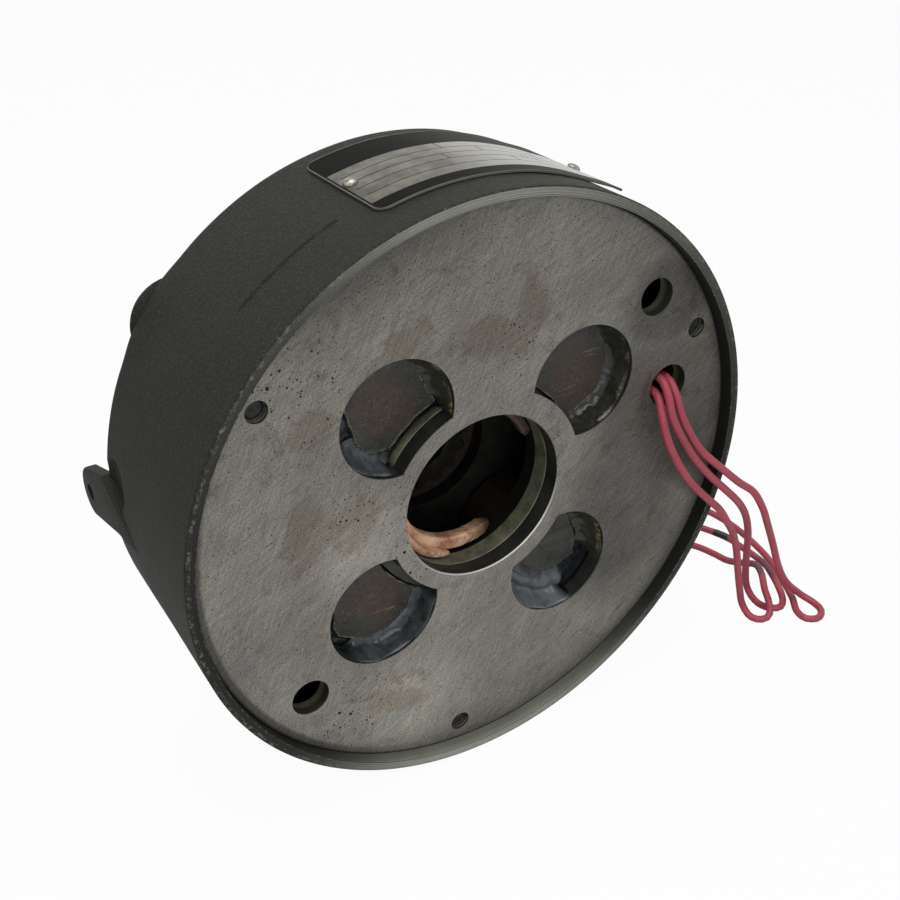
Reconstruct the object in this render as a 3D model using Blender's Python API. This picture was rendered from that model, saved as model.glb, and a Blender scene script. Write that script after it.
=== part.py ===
"""Electromagnetic disc brake for the end of a motor, in metres, +Z up.

The origin is the centre of the mounting plate's front face. The brake's axis is Y: -Y points out of
the mounting plate, towards the motor, and +Y runs back through the brake to the closed end of the
housing. The nameplate is on top of the housing, at +Z.

The cast housing is a deep cup. A ground steel mounting plate closes its mouth and carries the magnet.
Behind the magnet, springs press an armature plate against two friction discs that turn with a splined
hub. The magnet pulls the armature forward, and the discs run free.
"""
import math

import bmesh
import bpy
from mathutils import Matrix, Vector

# Clearances
SEAT_GAP = 0.0003
SLIDE_CLEARANCE = 0.0004
REGISTER_CLEARANCE = 0.0003

# Housing
RIM_RADIUS = 0.1085
RIM_LAND = 0.0036
RIM_PROUD = 0.0050
RIM_CHAMFER = 0.0008
WALL_TAPER = 0.0021
BACK_FILLET = 0.0030
BACK_THICKNESS = 0.0088
WALL_THICKNESS = 0.0069
INNER_FILLET = 0.0030
BOSS_OFFSET = 0.0036
BOSS_LEAN = math.radians(-1.1)
BOSS_FOOT_RADIUS = 0.0120
BOSS_RADIUS = 0.0158
BOSS_HEIGHT = 0.0034
BOSS_EDGE = 0.0012

# Mounting plate
PLATE_THICKNESS = 0.0065
BORE_RADIUS = 0.03015
WINDOW_BITE = 0.0056
WINDOW_WALL = 0.0027
WINDOW_COUNT = 4
MOUNTING_ANGLE = math.radians(39.5)
MOUNTING_EDGE = 0.0156
MOUNTING_HOLE_RADIUS = 0.00685
LEAD_HOLE_RADIUS = 0.008
LEAD_INSET = 0.0010
LEAD_ANGLE = math.radians(14.8)
SCREW_SPACE = 0.0013
FIRST_SCREW_ANGLE = math.radians(24.5)
SCREW_COUNT = 3
TAPPED_HOLE_RADIUS = 0.00375

# Cast lug on the left side of the housing
LUG_SETBACK = 0.0005
LUG_THICKNESS = 0.0042
LUG_LENGTH = 0.0344
LUG_FLAT_LENGTH = 0.0104
LUG_SHOULDER_LENGTH = 0.0004
LUG_TOP_Z = 0.0105
LUG_SHOULDER_Z = 0.0068
LUG_FOOT_Z = -0.0040
LUG_EYE_REACH = 0.0164
LUG_EYE_Z = -0.0089
LUG_EYE_RADIUS = 0.0030
LUG_END_RADIUS = 0.0090
SCOOP_LENGTH = 0.0099
SCOOP_Z = 0.0080
SCOOP_RADIUS = 0.0080
SCOOP_DEPTH = 0.0022

# Magnet
COLLAR_WALL = 0.00605
COLLAR_LENGTH = 0.0072
WEB_STEP = 0.00115
WEB_THICKNESS = 0.0060
MAGNET_SPACE = 0.0141
MAGNET_RING_WIDTH = 0.0130
MAGNET_DEPTH = 0.0300
POTTING_SETBACK = 0.0018
POLE_HEAD_SETBACK = 0.0030
COIL_BUILD = 0.0076
POLE_HEAD_CLEARANCE = 0.0004
COIL_SETBACK = 0.0010
COIL_SHORT_OF_FACE = 0.0006
BOLT_POCKET_RADIUS = 0.0120
LEAD_SLOT_MARGIN = 0.0010
BUSH_LENGTH = 0.0070
BUSH_SETBACK = 0.0082
TAIL_RADIUS = 0.0026
TAIL_SPAN = math.radians(120.0)
TAIL_ANGLES = (math.radians(235.0), math.radians(55.0))

# Screws that hold the magnet to the plate, from behind
MAGNET_SCREW_ANGLE = math.radians(84.5)
MAGNET_SCREW_RADIUS = 0.0028
MAGNET_SCREW_DEPTH = 0.0042
MAGNET_HEAD_RADIUS = 0.0046
MAGNET_HEAD_HEIGHT = 0.0045

# Springs that apply the brake
FIRST_SPRING_ANGLE = math.radians(0.5)
SPRING_COUNT = 6
SPRING_RADIUS = 0.0040
SPRING_WIRE_RADIUS = 0.0007
SPRING_TURNS = 4
SPRING_POCKET_DEPTH = 0.0143
SPRING_RUN = 0.0017

# Stack behind the magnet
AIR_GAP = 0.0013
ARMATURE_THICKNESS = 0.0050
DISC_THICKNESS = 0.0050
SEPARATOR_THICKNESS = 0.0030
REACTION_THICKNESS = 0.0040
PRESSURE_CLEARANCE = 0.0031
HUB_PASSAGE = 0.0040
FRICTION_SETBACK = 0.0015
FRICTION_INNER_RADIUS = 0.0480
DISC_RELIEF = 0.0008

# Splined hub
SPLINE_TEETH = 16
SPLINE_RADIUS = 0.0200
SPLINE_DEPTH = 0.0024
SPLINE_ROOT_SHARE = 0.27
SPLINE_TIP_SHARE = 0.17
SPLINE_CLEARANCE = 0.0003
HUB_OVERHANG = 0.0016
SHAFT_RADIUS = 0.0111
KEY_WIDTH = 0.0048
KEY_DEPTH = 0.0024

# Cap screws that close the housing onto the plate
CAP_SHANK_RADIUS = 0.0033
CAP_HEAD_RADIUS = 0.0056
CAP_HEAD_HEIGHT = 0.0052
CAP_SOCKET_RADIUS = 0.0029
CAP_SOCKET_DEPTH = 0.0028
CAP_SINK = 0.0058
CAP_TIP_Y = 0.0022

# Nameplate
NAMEPLATE_THICKNESS = 0.0007
NAMEPLATE_FRONT_Y = 0.0090
NAMEPLATE_WIDTH = 0.0470
NAMEPLATE_CORNER = 0.0040
NAMEPLATE_LEFT = math.radians(107.0)
NAMEPLATE_RIGHT = math.radians(57.0)
NAMEPLATE_LIFT = 0.0012
NAMEPLATE_LIFT_FROM = math.radians(66.0)
DRIVE_SCREW_INSET = math.radians(1.9)
DRIVE_SCREW_FROM_EDGE = 0.0250
DRIVE_HEAD_RADIUS = 0.0024
DRIVE_HEAD_HEIGHT = 0.0015
DRIVE_SHANK_RADIUS = 0.0010
DRIVE_SHANK_LENGTH = 0.0030

# Leads
LEAD_RADIUS = 0.0015
LEAD_POINT_SPACING = 0.0078

# How finely round shapes are divided
LARGE_SIDES = 60
MIDDLE_SIDES = 32
SMALL_SIDES = 16
SCREW_SIDES = 12
FILLET_STEPS = 3
CUT_MARGIN = 0.004

# Places along the brake's axis, worked out from the sizes
PLATE_BACK_Y = PLATE_THICKNESS
MAGNET_FRONT_Y = PLATE_BACK_Y + SEAT_GAP
COLLAR_BACK_Y = MAGNET_FRONT_Y + COLLAR_LENGTH
WEB_FRONT_Y = COLLAR_BACK_Y + SEAT_GAP
WEB_BACK_Y = WEB_FRONT_Y + WEB_THICKNESS
POTTING_FRONT_Y = PLATE_BACK_Y + POTTING_SETBACK
POLE_HEAD_FRONT_Y = PLATE_BACK_Y + POLE_HEAD_SETBACK
BUSH_FRONT_Y = PLATE_BACK_Y + BUSH_SETBACK
POLE_FACE_Y = MAGNET_FRONT_Y + MAGNET_DEPTH
ARMATURE_Y = POLE_FACE_Y + AIR_GAP
DISC_1_Y = ARMATURE_Y + ARMATURE_THICKNESS + SEAT_GAP
SEPARATOR_Y = DISC_1_Y + DISC_THICKNESS + SEAT_GAP
DISC_2_Y = SEPARATOR_Y + SEPARATOR_THICKNESS + SEAT_GAP
REACTION_Y = DISC_2_Y + DISC_THICKNESS + SEAT_GAP
CAVITY_BACK_Y = REACTION_Y + REACTION_THICKNESS + SEAT_GAP
BACK_Y = CAVITY_BACK_Y + BACK_THICKNESS
BOSS_BACK_Y = BACK_Y + BOSS_HEIGHT
CAP_SEAT_Y = BOSS_BACK_Y - CAP_SINK
LUG_START_Y = BACK_Y - LUG_LENGTH
LUG_FLAT_Y = BACK_Y - LUG_FLAT_LENGTH
LUG_SHOULDER_Y = BACK_Y - LUG_SHOULDER_LENGTH
LUG_EYE_Y = BACK_Y + LUG_EYE_REACH
SCOOP_Y = BACK_Y - SCOOP_LENGTH
DRIVE_SCREW_Y = NAMEPLATE_FRONT_Y + DRIVE_SCREW_FROM_EDGE

# Radii and circles about the brake's axis, worked out from the sizes
BACK_RADIUS = RIM_RADIUS - WALL_TAPER
REGISTER_RADIUS = RIM_RADIUS - RIM_LAND
PLATE_RADIUS = REGISTER_RADIUS - REGISTER_CLEARANCE
CAVITY_RADIUS = RIM_RADIUS - WALL_THICKNESS
SCREW_CIRCLE_RADIUS = CAVITY_RADIUS - CAP_SHANK_RADIUS - SCREW_SPACE
BOSS_CIRCLE_RADIUS = SCREW_CIRCLE_RADIUS - BOSS_OFFSET
MOUNTING_CIRCLE_RADIUS = PLATE_RADIUS - MOUNTING_EDGE
LUG_FACE_X = RIM_RADIUS - LUG_SETBACK
COLLAR_RADIUS = BORE_RADIUS + COLLAR_WALL
WEB_RADIUS = BORE_RADIUS + WEB_STEP
TAIL_CIRCLE_RADIUS = WEB_RADIUS - SEAT_GAP - TAIL_RADIUS
MAGNET_RADIUS = CAVITY_RADIUS - MAGNET_SPACE
MAGNET_RING_RADIUS = MAGNET_RADIUS - MAGNET_RING_WIDTH
MAGNET_RING_MIDDLE = (MAGNET_RADIUS + MAGNET_RING_RADIUS) / 2
LEAD_CIRCLE_RADIUS = MAGNET_RING_MIDDLE - LEAD_INSET
LEAD_SLOT_RADIUS = LEAD_HOLE_RADIUS + LEAD_SLOT_MARGIN
POTTING_RADIUS = MAGNET_RING_RADIUS - SEAT_GAP
WINDOW_REACH = MAGNET_RING_RADIUS - WINDOW_WALL
WINDOW_RADIUS = (WINDOW_REACH - COLLAR_RADIUS + WINDOW_BITE) / 2
WINDOW_CIRCLE_RADIUS = WINDOW_REACH - WINDOW_RADIUS
COIL_RADIUS = WINDOW_RADIUS - COIL_SETBACK
POLE_SHANK_RADIUS = COIL_RADIUS - COIL_BUILD
PRESSURE_RADIUS = CAVITY_RADIUS - PRESSURE_CLEARANCE
PRESSURE_BORE = SPLINE_RADIUS + HUB_PASSAGE
FRICTION_RADIUS = MAGNET_RADIUS - FRICTION_SETBACK
SPLINE_ROOT_RADIUS = SPLINE_RADIUS - SPLINE_DEPTH


def wall_radius(y):
    """Outside radius of the housing's slightly tapered wall at the distance y from the plate's face."""
    straight_start = RIM_CHAMFER - RIM_PROUD
    share = (y - straight_start) / (BACK_Y - BACK_FILLET - straight_start)
    return RIM_RADIUS + (BACK_RADIUS - RIM_RADIUS) * min(max(share, 0.0), 1.0)


def around(radius, angle, y):
    """A point at a radius and an angle about the brake's axis. Angle 0 is +X and 90 degrees is +Z."""
    return Vector((radius * math.cos(angle), y, radius * math.sin(angle)))


def evenly(count, first_angle):
    """Angles of count features spaced evenly round the axis."""
    return [first_angle + 2 * math.pi * step / count for step in range(count)]


def finish(name, colour, roughness, metallic):
    """A plain Principled material."""
    material = bpy.data.materials.new(name)
    material.use_nodes = True
    shader = material.node_tree.nodes["Principled BSDF"]
    shader.inputs["Base Color"].default_value = (*colour, 1.0)
    shader.inputs["Roughness"].default_value = roughness
    shader.inputs["Metallic"].default_value = metallic
    return material


def add_object(name, data, material=None):
    """Puts a mesh or a curve in the scene as one named object."""
    item = bpy.data.objects.new(name, data)
    bpy.context.scene.collection.objects.link(item)
    if material is not None:
        data.materials.append(material)
    return item


def add_solid(name, shape, material=None):
    """Turns a finished bmesh into a named object with its faces pointing out."""
    bmesh.ops.remove_doubles(shape, verts=shape.verts, dist=1e-7)
    bmesh.ops.recalc_face_normals(shape, faces=shape.faces)
    mesh = bpy.data.meshes.new(name)
    shape.to_mesh(mesh)
    shape.free()
    mesh.shade_smooth()
    mesh.set_sharp_from_angle(angle=math.radians(30))
    return add_object(name, mesh, material)


def cut_away(target, cutter, operation="DIFFERENCE"):
    """Leaves a Boolean on the target. The cutter stays in the file as a hidden guide."""
    cutter.hide_render = True
    cutter.display_type = "WIRE"
    cut = target.modifiers.new(cutter.name, "BOOLEAN")
    cut.operation = operation
    cut.solver = "EXACT"
    cut.object = cutter


def revolve(profile, sides):
    """Turns a closed outline of (radius, y) points about the brake's axis."""
    shape = bmesh.new()
    ring = [shape.verts.new((radius, y, 0.0)) for radius, y in profile]
    edges = []
    for start, end in zip(ring, ring[1:] + ring[:1]):
        if start.co.x > 1e-9 or end.co.x > 1e-9:
            edges.append(shape.edges.new((start, end)))
    bmesh.ops.spin(shape, geom=ring + edges, cent=(0, 0, 0), axis=(0, 1, 0), angle=2 * math.pi,
                   steps=sides, use_merge=True)
    return shape


def add_prism(shape, outline, front_y, back_y):
    """Adds a straight solid whose outline is a list of (x, z) points, from front_y to back_y."""
    corners = [shape.verts.new((x, front_y, z)) for x, z in outline]
    face = shape.faces.new(corners)
    grown = bmesh.ops.extrude_face_region(shape, geom=[face])["geom"]
    moved = [item for item in grown if isinstance(item, bmesh.types.BMVert)]
    bmesh.ops.translate(shape, verts=moved, vec=(0, back_y - front_y, 0))


def add_rod(shape, radius, front_y, back_y, centre=(0.0, 0.0), sides=SMALL_SIDES):
    """Adds a round rod along the brake's axis, with its centre at the (x, z) given."""
    place = Matrix.Translation((centre[0], (front_y + back_y) / 2, centre[1]))
    turn = Matrix.Rotation(math.radians(90), 4, "X")
    bmesh.ops.create_cone(shape, cap_ends=True, segments=sides, radius1=radius, radius2=radius,
                          depth=back_y - front_y, matrix=place @ turn)


def rod_centre(radius, angle):
    """The (x, z) centre of a feature at a radius and an angle about the brake's axis."""
    point = around(radius, angle, 0.0)
    return (point.x, point.z)


def add_turned(shape, profile, centre, sides=SCREW_SIDES):
    """Adds a turned solid to a shape, with its own axis at the (x, z) given."""
    turned = revolve(profile, sides)
    turned.transform(Matrix.Translation((centre[0], 0, centre[1])))
    loose = bpy.data.meshes.new("turned")
    turned.to_mesh(loose)
    turned.free()
    shape.from_mesh(loose)
    bpy.data.meshes.remove(loose)


def radial_rod(shape, radius, inner, outer, angle, y, sides=SCREW_SIDES):
    """Adds a round rod that points out from the brake's axis."""
    outwards = around(1.0, angle, 0.0)
    turn = outwards.to_track_quat("Z", "Y").to_matrix().to_4x4()
    middle = around((inner + outer) / 2, angle, y)
    bmesh.ops.create_cone(shape, cap_ends=True, segments=sides, radius1=radius, radius2=radius,
                          depth=outer - inner, matrix=Matrix.Translation(middle) @ turn)


def clipped_circle(angle, radius, inner_limit, steps=24):
    """Outline of a circle on the window circle, cut off on its inner side by a larger circle
    about the brake's axis."""
    distance = WINDOW_CIRCLE_RADIUS
    at_axis = (distance ** 2 + inner_limit ** 2 - radius ** 2) / (2 * distance * inner_limit)
    at_centre = (distance ** 2 + radius ** 2 - inner_limit ** 2) / (2 * distance * radius)
    half_inner = math.acos(at_axis)
    half_outer = math.pi - math.acos(at_centre)
    centre = Vector(rod_centre(distance, angle))
    outline = []
    for step in range(steps + 1):
        turn = angle + half_outer * (2 * step / steps - 1)
        outline.append(centre + radius * Vector((math.cos(turn), math.sin(turn))))
    inner_steps = steps // 3
    for step in range(1, inner_steps):
        turn = angle + half_inner * (1 - 2 * step / inner_steps)
        outline.append(inner_limit * Vector((math.cos(turn), math.sin(turn))))
    return outline


def spline_outline(clearance=0.0):
    """Outline of the splined hub. A clearance opens it up to the bore of a friction disc."""
    outline = []
    pitch = 2 * math.pi / SPLINE_TEETH
    root = SPLINE_ROOT_RADIUS + clearance
    tip = SPLINE_RADIUS + clearance
    root_half = pitch * SPLINE_ROOT_SHARE + clearance / root
    tip_half = pitch * SPLINE_TIP_SHARE + clearance / tip
    for tooth in range(SPLINE_TEETH):
        middle = tooth * pitch
        for radius, turn in ((root, -root_half), (tip, -tip_half), (tip, tip_half), (root, root_half)):
            outline.append((radius * math.cos(middle + turn), radius * math.sin(middle + turn)))
    return outline


def make_materials():
    """The colours and finishes of the brake's pieces."""
    return {
        "paint": finish("grey_green_paint", (0.105, 0.11, 0.095), 0.55, 0.0),
        "plate": finish("ground_steel", (0.36, 0.35, 0.33), 0.42, 0.9),
        "collar": finish("plated_steel", (0.30, 0.31, 0.27), 0.45, 0.8),
        "iron": finish("black_varnished_iron", (0.02, 0.02, 0.02), 0.6, 0.2),
        "tape": finish("varnished_tape", (0.10, 0.075, 0.055), 0.45, 0.0),
        "resin": finish("potting_resin", (0.07, 0.075, 0.08), 0.25, 0.0),
        "copper": finish("enamelled_copper", (0.55, 0.27, 0.14), 0.35, 0.8),
        "rubber": finish("black_rubber", (0.02, 0.02, 0.02), 0.7, 0.0),
        "steel": finish("machined_steel", (0.30, 0.30, 0.30), 0.35, 0.9),
        "lining": finish("moulded_lining", (0.16, 0.13, 0.10), 0.85, 0.0),
        "screw": finish("blackened_steel", (0.04, 0.04, 0.045), 0.4, 0.7),
        "nameplate": finish("etched_aluminium", (0.45, 0.45, 0.44), 0.35, 0.8),
        "lead": finish("crimson_lead", (0.42, 0.04, 0.07), 0.5, 0.0),
    }


def housing_profile():
    """Half section of the cast cup, from its rear centre round the outside to the inside."""
    rim_y = -RIM_PROUD
    points = [(0.0, BACK_Y), (BACK_RADIUS - BACK_FILLET, BACK_Y)]
    for step in range(1, FILLET_STEPS + 1):
        turn = math.pi / 2 * (1 - step / FILLET_STEPS)
        points.append((BACK_RADIUS - BACK_FILLET + BACK_FILLET * math.cos(turn),
                       BACK_Y - BACK_FILLET + BACK_FILLET * math.sin(turn)))
    points += [(RIM_RADIUS, rim_y + RIM_CHAMFER), (RIM_RADIUS - RIM_CHAMFER, rim_y),
               (REGISTER_RADIUS, rim_y), (REGISTER_RADIUS, MAGNET_FRONT_Y),
               (CAVITY_RADIUS, MAGNET_FRONT_Y)]
    for step in range(FILLET_STEPS + 1):
        turn = math.pi / 2 * step / FILLET_STEPS
        points.append((CAVITY_RADIUS - INNER_FILLET + INNER_FILLET * math.cos(turn),
                       CAVITY_BACK_Y - INNER_FILLET + INNER_FILLET * math.sin(turn)))
    points.append((0.0, CAVITY_BACK_Y))
    return points


def lug_outline():
    """Side outline of the lug as (y, z) points: a bar along the wall with a round end at its eye."""
    shoulder = Vector((LUG_SHOULDER_Y, LUG_SHOULDER_Z))
    foot = Vector((LUG_START_Y, LUG_FOOT_Z))
    eye = Vector((LUG_EYE_Y, LUG_EYE_Z))
    turns = []
    for corner, side in ((shoulder, -1), (foot, 1)):
        reach = corner - eye
        turns.append(math.atan2(reach.y, reach.x) + side * math.acos(LUG_END_RADIUS / reach.length))
    start, end = turns
    if end > start:
        end -= 2 * math.pi
    points = [(LUG_START_Y, LUG_TOP_Z), tuple(shoulder)]
    for step in range(9):
        turn = start + (end - start) * step / 8
        points.append((eye.x + LUG_END_RADIUS * math.cos(turn), eye.y + LUG_END_RADIUS * math.sin(turn)))
    points.append(tuple(foot))
    return points


def add_lug(shape):
    """Adds the cast lug. Its flat outer face rises slowly out of the housing's wall."""
    corners = [shape.verts.new((-LUG_FACE_X, y, z)) for y, z in lug_outline()]
    face = shape.faces.new(corners)
    grown = bmesh.ops.extrude_face_region(shape, geom=[face])["geom"]
    moved = [item for item in grown if isinstance(item, bmesh.types.BMVert)]
    bmesh.ops.translate(shape, verts=moved, vec=(LUG_THICKNESS, 0, 0))
    lug = [vertex for vertex in shape.verts if vertex in set(corners + moved)]
    geometry = lug + [edge for vertex in lug for edge in vertex.link_edges]
    geometry += [side for vertex in lug for side in vertex.link_faces]
    bmesh.ops.bisect_plane(shape, geom=list(set(geometry)), plane_co=(0, LUG_FLAT_Y, 0), plane_no=(0, 1, 0))
    for vertex in shape.verts:
        if vertex.co.y < LUG_START_Y + 1e-5 and vertex.co.x < -LUG_FACE_X + 1e-5:
            vertex.co.x += LUG_THICKNESS / 2


def make_housing(finishes):
    """Cast cup with the register for the plate, three screw bosses behind and the lug."""
    housing = add_solid("housing", revolve(housing_profile(), LARGE_SIDES), finishes["paint"])

    scoop = bmesh.new()
    depth = wall_radius(SCOOP_Y) - SCOOP_DEPTH
    scoop_angle = math.pi - math.asin(SCOOP_Z / RIM_RADIUS)
    radial_rod(scoop, SCOOP_RADIUS, depth, RIM_RADIUS + CUT_MARGIN, scoop_angle, SCOOP_Y, SMALL_SIDES)
    cut_away(housing, add_solid("scoop_cutter", scoop))

    bosses = bmesh.new()
    for angle in evenly(SCREW_COUNT, FIRST_SCREW_ANGLE):
        boss = [(0.0, BOSS_BACK_Y), (BOSS_RADIUS - BOSS_EDGE, BOSS_BACK_Y),
                (BOSS_RADIUS, BOSS_BACK_Y - BOSS_EDGE), (BOSS_RADIUS, BACK_Y),
                (BOSS_FOOT_RADIUS, BACK_Y - BACK_FILLET), (0.0, BACK_Y - BACK_FILLET)]
        add_turned(bosses, boss, rod_centre(BOSS_CIRCLE_RADIUS, angle + BOSS_LEAN), SMALL_SIDES)
    add_lug(bosses)
    cut_away(housing, add_solid("boss_and_lug_form", bosses), "UNION")

    holes = bmesh.new()
    for angle in evenly(SCREW_COUNT, FIRST_SCREW_ANGLE):
        head_hole = CAP_HEAD_RADIUS + SLIDE_CLEARANCE
        shank_hole = CAP_SHANK_RADIUS + SLIDE_CLEARANCE
        stepped = [(0.0, BOSS_BACK_Y + CUT_MARGIN), (head_hole, BOSS_BACK_Y + CUT_MARGIN),
                   (head_hole, CAP_SEAT_Y), (shank_hole, CAP_SEAT_Y),
                   (shank_hole, CAVITY_BACK_Y - CUT_MARGIN), (0.0, CAVITY_BACK_Y - CUT_MARGIN)]
        add_turned(holes, stepped, rod_centre(SCREW_CIRCLE_RADIUS, angle))
    eye_place = Matrix.Translation((-RIM_RADIUS, LUG_EYE_Y, LUG_EYE_Z))
    eye_turn = Matrix.Rotation(math.radians(90), 4, "Y")
    bmesh.ops.create_cone(holes, cap_ends=True, segments=SCREW_SIDES, radius1=LUG_EYE_RADIUS,
                          radius2=LUG_EYE_RADIUS, depth=LUG_THICKNESS * 4, matrix=eye_place @ eye_turn)
    for angle in drive_screw_angles():
        hole = DRIVE_SHANK_RADIUS + SEAT_GAP
        bottom = wall_radius(DRIVE_SCREW_Y) - DRIVE_SHANK_LENGTH
        radial_rod(holes, hole, bottom, RIM_RADIUS + CUT_MARGIN, angle, DRIVE_SCREW_Y, 8)
    cut_away(housing, add_solid("housing_holes", holes))


def make_mounting_plate(finishes):
    """Ground steel disc with the bore, four windows, mounting holes, lead hole and tapped holes."""
    blank = revolve([(BORE_RADIUS, 0.0), (PLATE_RADIUS, 0.0), (PLATE_RADIUS, PLATE_BACK_Y),
                     (BORE_RADIUS, PLATE_BACK_Y)], LARGE_SIDES)
    plate = add_solid("mounting_plate", blank, finishes["plate"])
    cuts = bmesh.new()
    front = -CUT_MARGIN
    back = PLATE_BACK_Y + CUT_MARGIN
    for angle in evenly(WINDOW_COUNT, MOUNTING_ANGLE):
        outline = clipped_circle(angle, WINDOW_RADIUS, COLLAR_RADIUS + SEAT_GAP)
        add_prism(cuts, outline, front, back)
    for angle in evenly(2, MOUNTING_ANGLE):
        centre = rod_centre(MOUNTING_CIRCLE_RADIUS, angle)
        add_rod(cuts, MOUNTING_HOLE_RADIUS, front, back, centre)
    for angle in evenly(SCREW_COUNT, FIRST_SCREW_ANGLE):
        add_rod(cuts, TAPPED_HOLE_RADIUS, front, back, rod_centre(SCREW_CIRCLE_RADIUS, angle), SCREW_SIDES)
    for angle in evenly(SCREW_COUNT, MAGNET_SCREW_ANGLE):
        hole_front = PLATE_BACK_Y - MAGNET_SCREW_DEPTH - SEAT_GAP
        centre = rod_centre(MAGNET_RING_MIDDLE, angle)
        add_rod(cuts, MAGNET_SCREW_RADIUS + SEAT_GAP, hole_front, back, centre, SCREW_SIDES)
    add_rod(cuts, LEAD_HOLE_RADIUS, front, back, rod_centre(LEAD_CIRCLE_RADIUS, LEAD_ANGLE))
    cut_away(plate, add_solid("plate_cuts", cuts))


def make_magnet(finishes):
    """Collar, iron body, pole cores, coils, potting and the coil tails round the bore."""
    collar = revolve([(BORE_RADIUS, MAGNET_FRONT_Y), (COLLAR_RADIUS, MAGNET_FRONT_Y),
                      (COLLAR_RADIUS, COLLAR_BACK_Y), (BORE_RADIUS, COLLAR_BACK_Y)], MIDDLE_SIDES)
    add_solid("bore_collar", collar, finishes["collar"])

    body = revolve([(WEB_RADIUS, WEB_FRONT_Y), (MAGNET_RING_RADIUS, WEB_FRONT_Y),
                    (MAGNET_RING_RADIUS, MAGNET_FRONT_Y), (MAGNET_RADIUS, MAGNET_FRONT_Y),
                    (MAGNET_RADIUS, POLE_FACE_Y), (MAGNET_RING_RADIUS, POLE_FACE_Y),
                    (MAGNET_RING_RADIUS, WEB_BACK_Y), (WEB_RADIUS, WEB_BACK_Y)], LARGE_SIDES)
    magnet = add_solid("magnet_body", body, finishes["iron"])
    cuts = bmesh.new()
    front = MAGNET_FRONT_Y - CUT_MARGIN
    back = POLE_FACE_Y + CUT_MARGIN
    for angle in evenly(WINDOW_COUNT, MOUNTING_ANGLE):
        centre = rod_centre(WINDOW_CIRCLE_RADIUS, angle)
        add_rod(cuts, POLE_SHANK_RADIUS + SEAT_GAP, front, back, centre)
    for angle in evenly(2, MOUNTING_ANGLE):
        centre = rod_centre(MOUNTING_CIRCLE_RADIUS, angle)
        add_rod(cuts, BOLT_POCKET_RADIUS, front, back, centre)
    add_rod(cuts, LEAD_SLOT_RADIUS, front, back, rod_centre(LEAD_CIRCLE_RADIUS, LEAD_ANGLE))
    for angle in evenly(SPRING_COUNT, FIRST_SPRING_ANGLE):
        centre = rod_centre(MAGNET_RING_MIDDLE, angle)
        pocket = SPRING_RADIUS + SPRING_WIRE_RADIUS + SEAT_GAP
        add_rod(cuts, pocket, POLE_FACE_Y - SPRING_POCKET_DEPTH, back, centre, SCREW_SIDES)
    head_seat = POLE_FACE_Y - MAGNET_HEAD_HEIGHT - SEAT_GAP * 2
    for angle in evenly(SCREW_COUNT, MAGNET_SCREW_ANGLE):
        stepped = [(0.0, back), (MAGNET_HEAD_RADIUS + SEAT_GAP, back),
                   (MAGNET_HEAD_RADIUS + SEAT_GAP, head_seat),
                   (MAGNET_SCREW_RADIUS + SEAT_GAP, head_seat),
                   (MAGNET_SCREW_RADIUS + SEAT_GAP, front), (0.0, front)]
        add_turned(cuts, stepped, rod_centre(MAGNET_RING_MIDDLE, angle))
    cut_away(magnet, add_solid("magnet_cuts", cuts))

    potting_blank = revolve([(COLLAR_RADIUS + SEAT_GAP, POTTING_FRONT_Y), (POTTING_RADIUS, POTTING_FRONT_Y),
                             (POTTING_RADIUS, COLLAR_BACK_Y), (COLLAR_RADIUS + SEAT_GAP, COLLAR_BACK_Y)],
                            MIDDLE_SIDES)
    potting = add_solid("potting", potting_blank, finishes["resin"])
    holes = bmesh.new()
    for angle in evenly(WINDOW_COUNT, MOUNTING_ANGLE):
        centre = rod_centre(WINDOW_CIRCLE_RADIUS, angle)
        add_rod(holes, WINDOW_RADIUS, PLATE_BACK_Y, WEB_BACK_Y, centre, MIDDLE_SIDES)
    lead_centre = rod_centre(LEAD_CIRCLE_RADIUS, LEAD_ANGLE)
    add_rod(holes, LEAD_SLOT_RADIUS, PLATE_BACK_Y, WEB_BACK_Y, lead_centre)
    cut_away(potting, add_solid("potting_cuts", holes))

    for number, angle in enumerate(evenly(WINDOW_COUNT, MOUNTING_ANGLE), 1):
        centre = rod_centre(WINDOW_CIRCLE_RADIUS, angle)
        head_radius = WINDOW_RADIUS - POLE_HEAD_CLEARANCE
        head = bmesh.new()
        outline = clipped_circle(angle, head_radius, COLLAR_RADIUS + SEAT_GAP * 2)
        add_prism(head, outline, POLE_HEAD_FRONT_Y, COLLAR_BACK_Y)
        core = add_solid(f"pole_core_{number}", head, finishes["tape"])
        shank = bmesh.new()
        shank_front = (POLE_HEAD_FRONT_Y + COLLAR_BACK_Y) / 2
        add_rod(shank, POLE_SHANK_RADIUS, shank_front, POLE_FACE_Y, centre)
        cut_away(core, add_solid(f"pole_shank_{number}", shank), "UNION")

        coil_profile = [(POLE_SHANK_RADIUS + SEAT_GAP, WEB_BACK_Y + SEAT_GAP),
                        (COIL_RADIUS, WEB_BACK_Y + SEAT_GAP),
                        (COIL_RADIUS, POLE_FACE_Y - COIL_SHORT_OF_FACE),
                        (POLE_SHANK_RADIUS + SEAT_GAP, POLE_FACE_Y - COIL_SHORT_OF_FACE)]
        coil = bmesh.new()
        add_turned(coil, coil_profile, centre, SMALL_SIDES)
        add_solid(f"coil_{number}", coil, finishes["copper"])

    for number, middle in enumerate(TAIL_ANGLES, 1):
        steps = 10
        turns = [middle + TAIL_SPAN * (step / steps - 0.5) for step in range(steps + 1)]
        tail_y = COLLAR_BACK_Y + SEAT_GAP + TAIL_RADIUS
        points = [around(TAIL_CIRCLE_RADIUS, turn, tail_y) for turn in turns]
        add_tube(f"coil_tail_{number}", points, TAIL_RADIUS, finishes["copper"], 2)


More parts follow.
